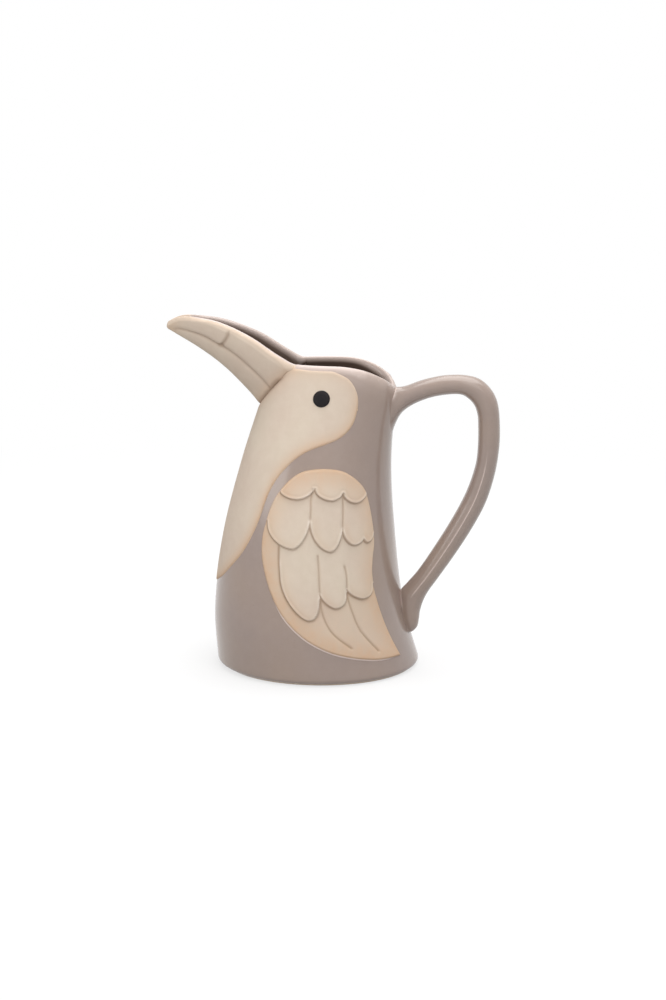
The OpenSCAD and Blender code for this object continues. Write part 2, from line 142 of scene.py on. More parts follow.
class Paint:  # one node tree, of a material or of the world
    def __init__(self, owner):
        owner.use_nodes = True
        self.owner, self.tree = owner, owner.node_tree
        self.tree.nodes.clear()

    def node(self, kind, settings=None, sockets=None, out=0):
        made = self.tree.nodes.new(kind)
        for name, value in (settings or {}).items():
            if name == "stops":
                self.setStops(made.color_ramp.elements, value)
            else:
                setattr(made, name, value)
        for name, value in (sockets or {}).items():
            if isinstance(value, Wire):
                self.tree.links.new(value.socket, made.inputs[name])
            else:
                made.inputs[name].default_value = value
        return Wire(self, made.outputs[out]) if made.outputs else made

    def setStops(self, elements, stops):
        while len(elements) < len(stops):
            elements.new(1)
        for element, (place, grey) in zip(elements, stops):
            element.position, element.color = place, (grey, grey, grey, 1)

    def maths(self, operation, a, b):
        return self.node("ShaderNodeMath", {"operation": operation}, {0: a, 1: b})

    def mix(self, factor, a, b):  # colours
        return self.node("ShaderNodeMix", {"data_type": "RGBA"}, {0: factor, 6: a, 7: b}, out=2)

    def ramp(self, value, *stops):
        return self.node("ShaderNodeValToRGB", {"stops": stops}, {"Fac": value})

    def place(self):  # where a point lies on its piece
        return self.node("ShaderNodeTexCoord", out="Object")

    def noise(self, place, size, detail=2, rough=0.5):  # size of a blotch in mm
        sockets = {"Vector": place, "Scale": 1 / (size * mm), "Detail": detail, "Roughness": rough}
        return self.node("ShaderNodeTexNoise", None, sockets)

    def blotches(self, place, low, high, **cloud):  # noise, 0 up to low and 1 from high on
        return self.ramp(self.noise(place, **cloud), (low, 0), (high, 1))

    def bump(self, show, deep, height):  # deep in mm
        sockets = {"Strength": show, "Distance": deep * mm, "Height": height}
        return self.node("ShaderNodeBump", None, sockets)

    def mark(self, name):  # a value that a piece carries at its points
        return self.node("ShaderNodeAttribute", {"attribute_name": name}, None, "Fac")

    def surface(self, shader):
        self.node("ShaderNodeOutputMaterial", None, {"Surface": shader})
        return self.owner


def tone(red, green, blue):  # a screen colour, 0 to 255, as the light value that nodes want
    def light(c):
        c /= 255
        return c / 12.92 if c <= 0.04045 else ((c + 0.055) / 1.055) ** 2.4
    return (light(red), light(green), light(blue), 1)


glazeLook = {
    # the palest colour here is glaze that breaks pale over edges, and a painted highlight as well
    "taupe": tone(160, 141, 129), "cool": tone(155, 138, 130), "thin": tone(218, 199, 190),
    # the inside colour is painted shade, for the mouth and the trough
    "pale": tone(174, 157, 147), "speck": tone(114, 96, 86), "inside": tone(98, 81, 72),
    "broad": {"size": 45, "detail": 3, "low": 0.35, "high": 0.68},
    "cloud": {"size": 6, "detail": 6, "rough": 0.62, "low": 0.42, "high": 0.75},
    "freckle": {"size": 0.8, "low": 0.68, "high": 0.76},
    "clouded": 0.16, "freckled": 0.25,  # how much the pale and the speck colour show
    "rough": 0.2, "cloudRough": 0.06, "thinRough": 0.12,
    "ior": 1.5, "coat": 0.25, "coatRough": 0.07,
    "rippleSize": 9, "rippleDeep": 0.12, "rippleShow": 0.35,
}


def makeGlaze():
    look = glazeLook
    paint = Paint(bpy.data.materials.new("taupeGlaze"))
    place = paint.place()
    broad, cloud, freckle = [paint.blotches(place, **look[name]) for name in ("broad", "cloud", "freckle")]
    thin, inside = paint.mark("thin"), paint.mark("inside")
    colour = paint.mix(broad, look["taupe"], look["cool"])
    colour = paint.mix(cloud * look["clouded"], colour, look["pale"])
    colour = paint.mix(freckle * look["freckled"], colour, look["speck"])
    # painted shade inside the mouth and down the trough
    colour = paint.mix(inside, colour, look["inside"])
    # pale glaze with a painted highlight on the lips, rims, handle and beads
    colour = paint.mix(thin, colour, look["thin"])
    rough = look["rough"] + cloud * look["cloudRough"] + thin * look["thinRough"]
    skin = paint.bump(look["rippleShow"], look["rippleDeep"], paint.noise(place, look["rippleSize"]))
    shader = paint.node("ShaderNodeBsdfPrincipled", None, {
        "Base Color": colour, "Roughness": rough, "IOR": look["ior"], "Coat Weight": look["coat"],
        "Coat Roughness": look["coatRough"], "Normal": skin})
    return paint.surface(shader)


clayLook = {
    "cream": tone(216, 201, 183), "pink": tone(210, 190, 174), "toast": tone(208, 164, 124),
    "pale": tone(238, 226, 213), "shade": tone(150, 124, 104), "speck": tone(128, 98, 72),
    "broad": {"size": 30, "detail": 3, "low": 0.36, "high": 0.66},
    "cloud": {"size": 5, "detail": 5, "rough": 0.6, "low": 0.4, "high": 0.7},
    "freckle": {"size": 0.55, "low": 0.71, "high": 0.78},
    "grain": {"size": 0.45, "detail": 3, "rough": 0.6},
    "pinked": 0.55, "clouded": 0.12, "freckled": 0.3, "shaded": 0.65,  # how much each colour shows
    "firedLeast": 0.55, "highlightLeast": 0.4,  # what the clouds leave of the tan and of the painted highlight on the crests
    "rough": 0.82, "grainRough": 0.12, "crestSmooth": 0.1, "ior": 1.45, "shine": 0.3,
    "grainDeep": 0.1, "grainShow": 0.5, "cloudDeep": 0.5, "footToast": 0.12,
}


def makeClay(name, toasted):  # toasted lifts the fired tan all over, as on the foot
    look = clayLook
    paint = Paint(bpy.data.materials.new(name))
    place = paint.place()
    broad, cloud, freckle = [paint.blotches(place, **look[kind]) for kind in ("broad", "cloud", "freckle")]
    grain = paint.noise(place, **look["grain"])
    toast, crest, hollow = paint.mark("toast"), paint.mark("crest"), paint.mark("hollow")
    fired = toast * (look["firedLeast"] + cloud * (1 - look["firedLeast"])) + toasted
    paintedHighlight = crest * (look["highlightLeast"] + cloud * (1 - look["highlightLeast"]))
    colour = paint.mix(broad * look["pinked"], look["cream"], look["pink"])
    colour = paint.mix(paint.node("ShaderNodeClamp", None, {"Value": fired}), colour, look["toast"])
    colour = paint.mix(cloud * look["clouded"], colour, look["pale"])
    colour = paint.mix(freckle * look["freckled"], colour, look["speck"])
    # painted shade in grooves, creases, under feather edges and along borders
    colour = paint.mix(hollow * look["shaded"], colour, look["shade"])
    # painted highlight on crests and rims
    colour = paint.mix(paintedHighlight, colour, look["pale"])
    rough = look["rough"] + grain * look["grainRough"] - crest * look["crestSmooth"]
    skin = paint.bump(look["grainShow"], look["grainDeep"], grain + cloud * look["cloudDeep"])
    shader = paint.node("ShaderNodeBsdfPrincipled", None, {
        "Base Color": colour, "Roughness": rough, "IOR": look["ior"],
        "Specular IOR Level": look["shine"], "Normal": skin})
    return paint.surface(shader)


eyeLook = {
    "black": tone(20, 17, 20), "brown": tone(38, 30, 28), "browned": 0.5,
    "cloud": {"size": 2, "detail": 4, "low": 0.4, "high": 0.7},
    "rough": 0.48, "cloudRough": 0.1, "ior": 1.45, "shine": 0.25,
    "grainSize": 0.5, "grainDeep": 0.05, "grainShow": 0.4,
}


def makeEyeGlaze():
    look = eyeLook
    paint = Paint(bpy.data.materials.new("eyeGlaze"))
    place = paint.place()
    cloud = paint.blotches(place, **look["cloud"])
    skin = paint.bump(look["grainShow"], look["grainDeep"], paint.noise(place, look["grainSize"]))
    shader = paint.node("ShaderNodeBsdfPrincipled", None, {
        "Base Color": paint.mix(cloud * look["browned"], look["black"], look["brown"]),
        "Roughness": look["rough"] + cloud * look["cloudRough"], "IOR": look["ior"],
        "Specular IOR Level": look["shine"], "Normal": skin})
    return paint.surface(shader)


glaze = makeGlaze()
clay = makeClay("bareClay", 0)
footClay = makeClay("toastedClay", clayLook["footToast"])
eyeGlaze = makeEyeGlaze()
print("materials made")


# meshes

def zipped(a, b):  # triangles between two rows of points that run the same way
    faces, i, k = [], 0, 0
    while i < len(a) - 1 or k < len(b) - 1:
        if k == len(b) - 1 or (i < len(a) - 1 and (i + 1) * (len(b) - 1) <= (k + 1) * (len(a) - 1)):
            faces.append([a[i], a[i + 1], b[k]])
            i += 1
        else:
            faces.append([a[i], b[k + 1], b[k]])
            k += 1
    return faces


def loft(rings, loop, front):  # skin over a row of closed rings, with both ends closed
    count, around = rings.shape[:2]
    i, j = np.mgrid[0:count if loop else count - 1, 0:around]
    here, below, right = i * around, (i + 1) % count * around, (j + 1) % around
    quads = np.stack([here + j, here + right, below + right, below + j], -1)
    faces = quads.reshape(-1, 4).tolist()
    for first in (() if loop else (0, (count - 1) * around)):
        ring = list(range(first, first + around))
        faces += zipped(ring[:front], ring[:front - 1:-1]) if front else [ring]
    return faces


# front is how many points of a thin ring lie on its outer side
def makePiece(name, rings, material, nodes=(), marks=None, loop=False, front=0):
    mesh = bpy.data.meshes.new(name)
    mesh.from_pydata((rings.reshape(-1, 3) * mm).tolist(), [], loft(rings, loop, front))
    shape = bmesh.new()
    shape.from_mesh(mesh)
    bmesh.ops.recalc_face_normals(shape, faces=shape.faces)
    openEdges = sum(not edge.is_manifold for edge in shape.edges)
    shape.to_mesh(mesh)
    shape.free()
    mesh.shade_smooth()
    for mark, values in (marks or {}).items():
        layer = mesh.attributes.new(mark, "FLOAT", "POINT")
        layer.data.foreach_set("value", np.ascontiguousarray(values, np.float32).ravel())
    mesh.materials.append(material)
    piece = bpy.data.objects.new(name, mesh)
    bpy.context.scene.collection.objects.link(piece)
    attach(piece, "root")
    if nodes:
        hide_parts(*nodes)
    print("made", name, "faces", len(mesh.polygons), "open edges", openEdges)


def skinRings(top, deep, backing):  # closes a sheet of points with a coarser back inside the wall
    picks = np.linspace(top.shape[1] - 1, 0, backing).round().astype(int)
    return np.concatenate([top, deep[:, picks]], 1)


def skinMarks(backing, **marks):  # the same for the values at those points
    return {name: skinRings(values, values, backing) for name, values in marks.items()}


# the body: u is 0 at the handle, 90 on the bird's left and 180 at the breast

body = {
    "levels": [0, 35, 80, 125, 165, 185],
    "front": [61.7, 63.5, 57.7, 46.1, 33.2, 27],
    "back": [61.5, 51.6, 46, 43.5, 46.5, 50],
    "width": [112, 110, 97, 77, 55, 43],
    "wall": 4.5, "bottom": 1.2, "baseRound": 3.0, "floorTop": 7.5, "floorFillet": 9,
    "mouthZ": 185, "rimDip": 13.3, "rimPower": 1.45,
    "notch": 127, "throatDrop": 27, "throatPower": 1.45,  # the beak starts at the notch
    "lipOut": 2.5, "lipOutDrop": 4.2, "lipInDrop": 4.4, "lipFade": 6,  # the rolled lip
    "shoulderOut": 3.5, "shoulderDrop": 7.5, "shoulderEnd": 78, "shoulderFade": 30,  # broader round the back
    "shoulderWave": 0.22, "waves": ((15, 1), (26, 0.6)),  # how often each comes, and how strong
    "backRoll": 1.2, "backRollDrop": 5.5, "backRollFade": 22,  # and thicker on its inside there
    "seamOut": 1.0, "seamOutDrop": 1.0, "seamInDrop": 0.02,  # the plain edge under the beak
    "lipPale": 0.85, "backPale": 0.42, "lowPale": 0.3, "lowPaleFade": 4,  # pale glaze on the lip: partly glaze that breaks pale, partly a painted highlight
    "lipGlazeDrop": 1.8, "backGlazeDrop": 2.6, "lipGlazeFade": 2.0,  # how far the pale runs down inside, and where the painted shade inside the mouth begins
    "freeColumns": 240, "beakColumns": 100, "rows": 120, "insideRows": 60,
    "baseSteps": 10, "lipSteps": 14, "lipInSteps": 12, "filletSteps": 9,
    "bottomShares": (0.06, 0.97, 7), "floorShares": (0.94, 0.05, 7),  # rings on the two flat faces
}
body["throatZ"] = body["mouthZ"] - body["throatDrop"]


def ovalAt(z):
    front = smoothAt(body["levels"], body["front"], z)
    back = smoothAt(body["levels"], body["back"], z)
    return (back - front) / 2, (back + front) / 2, smoothAt(body["levels"], body["width"], z) / 2


def bodyAt(u, z, off=0.0):
    midX, halfX, halfY = ovalAt(z)
    a = np.radians(u)
    x, y = midX + (halfX + off) * np.cos(a), -(halfY + off) * np.sin(a)
    return np.stack(np.broadcast_arrays(x, y, z), -1)


def bodyOut(u, z):  # the way that the wall faces
    step = 0.4
    across = bodyAt(u + step, z) - bodyAt(u - step, z)
    up = bodyAt(u, z + step) - bodyAt(u, z - step)
    return unit(np.cross(up, across))


def fold(u):
    a = np.abs(u)
    return np.where(a > 180, 360 - a, a)


def underBeak(u):
    return fold(u) > body["notch"] - 0.01  # the notch itself counts


def rimZ(u):  # height of the free rim, and of the seam under the beak
    a = fold(u)
    flank = np.sin(np.radians(np.minimum(a, 90)))
    free = body["mouthZ"] - body["rimDip"] * (1 - flank ** body["rimPower"])
    share = np.clip(180 - a, 0, None) / (180 - body["notch"])
    return np.where(underBeak(u), body["throatZ"] + body["throatDrop"] * share ** body["throatPower"], free)


def backX(y, z):  # the back of the wall, with the lip's shoulder
    midX, halfX, halfY = ovalAt(z)
    drop = body["shoulderDrop"]
    over = np.clip((z - rimZ(0.0) + drop) / drop, 0, 1)
    wallX = midX + halfX * np.sqrt(np.clip(1 - (y / halfY) ** 2, 0, 1))
    return wallX - body["shoulderOut"] * (1 - np.sqrt(1 - over ** 2))


def quarter(steps):
    return np.linspace(0, np.pi / 2, steps)


def makeBody():
    notch, wall, top, fillet = body["notch"], body["wall"], body["floorTop"], body["floorFillet"]
    u = np.concatenate([np.linspace(-notch, notch, body["freeColumns"], endpoint=False),
                        np.linspace(notch, 360 - notch, body["beakColumns"], endpoint=False)])
    rim, side = rimZ(u), fold(u)
    joined = ease((side - notch) / body["lipFade"])  # 1 where the beak is luted on
    behind = ease((body["shoulderEnd"] - side) / body["shoulderFade"])  # 1 round the back

    def around(lip, back, seam):  # a size that differs at the sides, at the back and under the beak
        return lerp(lerp(body[lip], body[back], behind), body[seam], joined)

    out = around("lipOut", "shoulderOut", "seamOut")
    outDrop = around("lipOutDrop", "shoulderDrop", "seamOutDrop")
    inDrop = around("lipInDrop", "backRollDrop", "seamInDrop")
    thick = wall + body["backRoll"] * behind
    glazeDrop = lerp(body["lipGlazeDrop"], body["backGlazeDrop"], behind)
    free, lowPale = 1 - joined, body["lowPale"]
    pale = free * lerp(body["lipPale"], body["backPale"], behind)
    wave = sum(strength * np.sin(np.radians(side * often)) for often, strength in body["waves"])
    wave = body["shoulderWave"] * behind * wave
    # each ring carries pale glaze with a painted highlight on the lip, and painted shade inside the mouth,
    # full from the fillet to the floor
    rings, thin, insideShade = [], [], []

    def add(points, light=0.0, inside=0.0):
        rings.append(points)
        thin.append(np.broadcast_to(light, u.shape))
        insideShade.append(np.broadcast_to(inside, u.shape))

    def glazed(z):  # how far a height is under the pale glaze of the lip, which also sets the painted shade inside the mouth
        return ease((rim - z - glazeDrop) / body["lipGlazeFade"])

    def flat(z, off, share):  # a ring drawn in towards the middle
        ring = bodyAt(u, np.full_like(u, z), off)
        middle = np.array([ovalAt(z)[0], 0, z])
        return middle + (ring - middle) * share

    r = body["baseRound"]
    low = body["bottom"] + r
    for share in np.linspace(*body["bottomShares"]):
        add(flat(body["bottom"], -r, share))
    for a in quarter(body["baseSteps"])[:-1]:
        add(bodyAt(u, np.full_like(u, low - r * np.cos(a)), r * (np.sin(a) - 1)))
    for share in np.linspace(0, 1, body["rows"]):
        z = lerp(low, rim - outDrop, share)
        add(bodyAt(u, z), lowPale * bell((rim - outDrop - z) / body["lowPaleFade"]) * pale)
    for a in quarter(body["lipSteps"])[1:]:
        off = wave * np.sin(2 * a) - out * (1 - np.cos(a))
        add(bodyAt(u, rim - outDrop * (1 - np.sin(a)), off), pale * lerp(lowPale, 1, np.sin(a)))
    for a in quarter(body["lipInSteps"])[1:]:
        z = rim - inDrop * (1 - np.cos(a))
        dim = np.maximum(glazed(z), joined)
        light = lerp(pale, lowPale * free, np.sin(a)) * (1 - dim)
        add(bodyAt(u, z, -out - (thick - out) * np.sin(a)), light, dim)
    for share in np.linspace(0, 1, body["insideRows"])[1:]:
        z = lerp(rim - inDrop, top + fillet, share)
        off = -lerp(thick, wall, ease((rim - inDrop - z) / body["backRollFade"]))
        add(bodyAt(u, z, off), 0, glazed(z))
    for a in quarter(body["filletSteps"])[1:]:
        z = np.full_like(u, top + fillet * (1 - np.sin(a)))
        add(bodyAt(u, z, -wall - fillet * (1 - np.cos(a))), 0, 1)
    for share in np.linspace(*body["floorShares"]):
        add(flat(top, -wall - fillet, share), 0, 1)
    makePiece("bodyShell", np.array(rings), glaze, ("body_wall", "floor_disc"),
              {"thin": np.array(thin), "inside": np.array(insideShade)})


foot = {
    "inset": 3.6, "face": 8, "top": 2.2, "straight": 0.6, "edge": 0.7, "edgeSteps": 6,
    "columns": 300, "toast": 0.2,
}


def makeFoot():
    u = np.linspace(0, 360, foot["columns"], endpoint=False)
    outer, high, r = -foot["inset"], foot["top"], foot["edge"]
    inner = outer - foot["face"]
    turn = quarter(foot["edgeSteps"])
    profile = [(outer, high), (outer, high * foot["straight"])]
    profile += [(outer - r + r * math.cos(a), r - r * math.sin(a)) for a in turn]
    profile += [(lerp(outer - r, inner + r, k), 0.0) for k in (0.25, 0.5, 0.75)]
    profile += [(inner + r - r * math.sin(a), r - r * math.cos(a)) for a in turn]
    profile += [(inner, high * foot["straight"]), (inner, high)]
    rings = np.array([bodyAt(u, np.zeros_like(u), off) + (0, 0, z) for off, z in profile])
    rings = rings.transpose(1, 0, 2)
    blank = np.zeros(rings.shape[:2])
    makePiece("footRing", rings, footClay, ("foot_ring",),
              {"toast": blank + foot["toast"], "crest": blank, "hollow": blank}, loop=True)


makeBody()
makeFoot()


# the handle, one pulled strap of clay bent between its two roots

handle = {
    "outer": [(49.6, 170.6), (53.5, 171.8), (59, 174), (66, 176.2), (75.5, 178.1), (86.6, 178.4),
              (95.7, 176.2), (102.5, 170.3), (106.4, 162.6), (107.9, 152), (108, 136.5), (105.6, 119.4),
              (100.4, 101.8), (92.2, 85.4), (82.2, 69), (71.7, 53.4), (66.7, 46.1), (63.8, 40.4),
              (61.8, 34), (61.1, 28.7), (60.2, 24), (57.6, 20.8), (54.5, 19.8)],
    "inner": [(46.4, 150.4), (51, 156.3), (58, 161), (67.2, 164.7), (76.5, 166.6), (84.5, 166.9),
              (89.2, 164.6), (92.8, 160.6), (94.6, 155.6), (95.2, 149.4), (95.2, 136.2), (93.8, 124.1),
              (88.6, 108.1), (80.6, 92), (71, 75.7), (60.8, 59.8), (54.1, 51.4), (49.5, 45.5),
              (48.8, 38.5), (49.5, 31), (51, 26.3), (52.5, 22.6), (53, 20.7)],
    "half": [7.5, 7.4, 7.3] + [7.25] * 12 + [7.3, 7.2, 7.1, 6.8, 6.2, 5.2, 3.6, 1.3],  # middle to side
    "rootZ": 155.1, "rootTall": 15.2, "rootWide": 10, "rootFlare": 0.27, "rootLead": 5, "rootSunk": 0.35,
    "toeFillet": 1.2, "toeSpread": 1.5,
    "ridge": 0.28, "ridgeWide": 0.05, "ridgeRun": (0.455, 0.78), "ridgeFade": (0.06, 0.05),
    "pale": 0.9, "paleAt": 0.3, "highlightWide": 0.7,  # pale glaze on the ridge and beside the roots: on the ridge partly glaze that breaks pale and partly a painted highlight, beside the roots a painted highlight
    "rootPale": 0.6, "rootPaleZ": 162, "rootPaleFade": 4, "toePaleZ": (34, 54), "toePaleFade": 6,
    "rings": 240, "crowding": 0.45, "rootRings": 40, "sides": 128, "step": 0.004,
}


def strapAt(t, a):  # the strap's section at t; a runs from its outer side to its inner side and back
    outer, inner = curveAt(handle["outer"], t), curveAt(handle["inner"], t)
    half = curveAt(np.array(handle["half"])[:, None], t)
    middle, reach = (outer + inner) / 2, (outer - inner) / 2
    wide, (starts, ends), (fadeIn, fadeOut) = handle["ridgeWide"], handle["ridgeRun"], handle["ridgeFade"]
    arris = np.maximum(bell((a - np.pi / 2) / wide), bell((a - 1.5 * np.pi) / wide))
    arris = arris * (ease((t - starts) / fadeIn) * ease((ends - t) / fadeOut))[:, None]  # down the lower run
    x, z = [middle[:, k:k + 1] + reach[:, k:k + 1] * np.cos(a) for k in (0, 1)]
    return np.stack([x, (half + arris * handle["ridge"]) * np.sin(a), z], -1), arris


def rootRings(strap, ahead, a):  # the upper root leaves the wall like a trumpet and runs into the strap
    def onWall(share):
        y = share * handle["rootWide"] * np.sin(a)
        z = handle["rootZ"] + share * handle["rootTall"] * np.cos(a)
        return np.stack([backX(y, z) - handle["rootSunk"], y, z], -1)

    seat = onWall(1)
    under = ease(np.cos(a))[:, None]  # 1 under the lip, where the root meets the wall in a notch
    lead = seat + lerp(onWall(1 - handle["rootFlare"]) - seat, (strap - seat) / 3, under)
    last = strap - ahead * handle["rootLead"]
    v = np.linspace(0, 1, handle["rootRings"], endpoint=False)[:, None, None]
    return (1 - v) ** 3 * seat + 3 * v * (1 - v) ** 2 * lead + 3 * v ** 2 * (1 - v) * last + v ** 3 * strap


def offBack(points):  # how far points stand off the back of the wall
    return points[..., 0] - backX(points[..., 1], points[..., 2])


def makeHandle():
    a = turns(handle["sides"])
    t = lerp(1 / (len(handle["outer"]) - 1), 1, crowded(handle["rings"], handle["crowding"]))
    strap, arris = strapAt(t, a)
    fillet, spread = handle["toeFillet"], handle["toeSpread"]
    swell = fillet * (np.clip(1 - offBack(strap) / fillet, 0, spread) / spread) ** 2
    swell = swell * np.sin(a) ** 2  # only on its two sides
    strap = strap + unit(strap - strap.mean(1, keepdims=True)) * swell[..., None]
    ahead = unit(strapAt(t[:1] + handle["step"], a)[0][0] - strap[0])
    root = rootRings(strap[0], ahead, a)
    rings, arris = np.concatenate([root, strap]), np.concatenate([0 * root[..., 0], arris])
    z, (toeLow, toeHigh), fade = rings[..., 2], handle["toePaleZ"], handle["toePaleFade"]
    atRoot = handle["rootPale"] * ease((z - handle["rootPaleZ"]) / handle["rootPaleFade"])
    atToe = ease((z - toeLow) / fade) * ease((toeHigh - z) / fade)
    # painted highlight beside the roots and along the ridge of the lower run
    creased = bell((offBack(rings) - handle["paleAt"]) / handle["highlightWide"]) * np.maximum(atRoot, atToe)
    thin = handle["pale"] * np.maximum(creased, arris)
    makePiece("pulledHandle", rings, glaze, ("handle",), {"thin": thin})


makeHandle()


# the beak: s runs from the seam to the tip, j over the section from the left rim by the keel to the right rim

beak = {
    "length": 80, "crest": 26, "tipDrop": 4, "tipHeight": 3.5, "tipCrown": 0.4, "wall": 3.6, "slip": 0.15,
    "rimS": [0, 0.1, 0.2, 0.3, 0.4, 0.5, 0.6, 0.7, 0.8, 0.9, 1],
    "rimRise": [0, 0.07, 0.285, 0.52, 0.672, 0.797, 0.893, 0.945, 0.955, 0.945, 0.93],
    "rimOpen": [1, 1.05, 1.03, 0.91, 0.775, 0.65, 0.54, 0.44, 0.33, 0.2, 0.08],
    "keelS": [0, 0.1, 0.25, 0.45, 0.65, 0.88, 1],
    "keelRise": [0, 0.202, 0.373, 0.58, 0.748, 0.908, 0.99],
    "blendS": 0.35, "closeS": 0.7, "endS": 0.86, "endHalf": 0.8, "tipStart": 0.86,
    "tipRound": 0.985, "tipLeast": 0.03,
    "mouthLine": [(0.0, 0.235), (0.087, 0.223), (0.143, 0.213), (0.218, 0.194), (0.282, 0.187),
                  (0.348, 0.184), (0.42, 0.184), (0.492, 0.189), (0.551, 0.193), (0.629, 0.19),
                  (0.722, 0.193), (0.818, 0.199), (0.883, 0.22), (0.952, 0.283)],
    "tipLine": [(0.495, 0.0), (0.49, 0.025), (0.478, 0.063), (0.475, 0.11), (0.481, 0.16), (0.492, 0.189)],
    "pillow": 1.5, "pillowRun": 3, "lowerPillow": 0.35, "lowerRun": 2,  # the plates swell from the groove
    "groove": 0.7, "grooveWide": 1.3, "grooveEnd": 0.9, "grooveFade": 0.08,
    "nail": 0.6, "nailRound": 1.8, "nailRun": 9,  # the tip's plate stands over the next
    "splitJoin": 0.8, "splitTop": 0.01, "splitFade": 0.05,  # the groove between those two plates
    "slim": 0.3, "slimS": 0.55, "slimRun": 0.35,  # the relief gets lower towards the tip
    "seamDeep": 0.9, "seamFlush": 0.35, "seamFree": 0.085, "seamFade": 0.06, "seamRound": 3.2,
    "rimDrop": 1.8, "notchDrop": 6.0, "notchRun": 0.22, "dropMost": 0.55, "rimFade": 0.045, "rimRelief": 0.25,
    "lipBlend": 5, "lipSunk": 0.12, "lipStart": 0.6, "lipIn": 0.08, "tuckDown": 1.2, "tuckIn": 0.9,
    "grooveShade": (0.7, 0.9), "splitShade": 0.8, "seamShade": (0.9, 1.8),  # strength, and width in mm
    # painted shade: a dark corner where the tip's plate meets the mouth line, and the whole outside of the
    # beak a little darker as it faces down
    "cornerShade": 0.6, "cornerMouth": 1.8, "cornerTip": 2.2, "outsideShade": 0.13,
    "seamToast": (0.35, 5), "tipToast": 0.45, "tipToastS": 0.8, "edgeToast": 0.25,
    # the pale crest paint on the rim is a painted highlight
    "rimToast": 0.35, "rimHighlight": 0.3,
    "firstS": 0.05, "rows": 160, "tipRows": 9, "outsideColumns": 130, "insideColumns": 50, "arcSteps": 9,
    "mouthSteps": 400, "tipSteps": 120,
}
notchPoint = bodyAt(body["notch"], body["mouthZ"])
throatPoint = bodyAt(180, body["throatZ"])
tipX = notchPoint[0] - beak["length"]
tipZ = body["mouthZ"] + beak["crest"] - beak["tipDrop"]


def beakRim(s):
    fall = np.clip((s - beak["tipStart"]) / (1 - beak["tipStart"]), 0, None) ** 2
    rise = beak["crest"] * smoothAt(beak["rimS"], beak["rimRise"], s) - beak["tipDrop"] * fall
    return np.stack([lerp(notchPoint[0], tipX, s), 0 * s, body["mouthZ"] + rise], -1)


def beakKeel(s):
    rise = smoothAt(beak["keelS"], beak["keelRise"], s)
    z = lerp(body["throatZ"], tipZ - beak["tipHeight"], rise)
    return np.stack([lerp(throatPoint[0], tipX, s), 0 * s, z], -1)


def beakOpen(s):
    return -notchPoint[1] * smoothAt(beak["rimS"], beak["rimOpen"], s)


def sideways(y):
    return np.stack([0 * y, y, 0 * y], -1)


def beakSeam(j, off):
    u = body["notch"] + (360 - 2 * body["notch"]) * j
    return bodyAt(u, rimZ(u), off) + (0, 0, beak["slip"])


def beakAt(s, j, off=0.0):  # outside
    s, j, off = np.broadcast_arrays(np.asarray(s, float), j, off)
    rim, keel, a = beakRim(s), beakKeel(s), np.pi * j
    deep = np.linalg.norm(keel - rim, axis=-1)
    section = rim + (keel - rim) * ((1 + off / deep) * np.sin(a))[..., None]
    section = section - sideways((beakOpen(s) + off) * np.cos(a))
    return lerp(beakSeam(j, off), section, ease(s / beak["blendS"])[..., None])


def troughAt(s, j):  # inside, filling up towards the solid tip
    s, j = np.broadcast_arrays(np.asarray(s, float), j)
    rim, keel, a = beakRim(s), beakKeel(s), np.pi * j
    deep = np.linalg.norm(keel - rim, axis=-1)
    fill = ease((s - beak["closeS"]) / (beak["endS"] - beak["closeS"]))
    depth = np.maximum(deep - beak["wall"], 0) * (1 - fill)
    opening = beakOpen(s)
    half = lerp(np.maximum(opening - beak["wall"], opening / 3), opening * beak["endHalf"], fill)
    bed = rim + (keel - rim) * (depth / deep * np.sin(a))[..., None]
    bed[..., 2] += beak["tipCrown"] * fill * np.sin(a)
    hollow = bed - sideways(half * lerp(np.cos(a), 1 - 2 * j, fill))
    return lerp(beakSeam(j, -body["wall"]), hollow, ease(s / beak["blendS"])[..., None])


def stroke(strengthAndWidth, away):  # a soft mark along a line
    strength, wide = strengthAndWidth
    return strength * bell(away / wide)


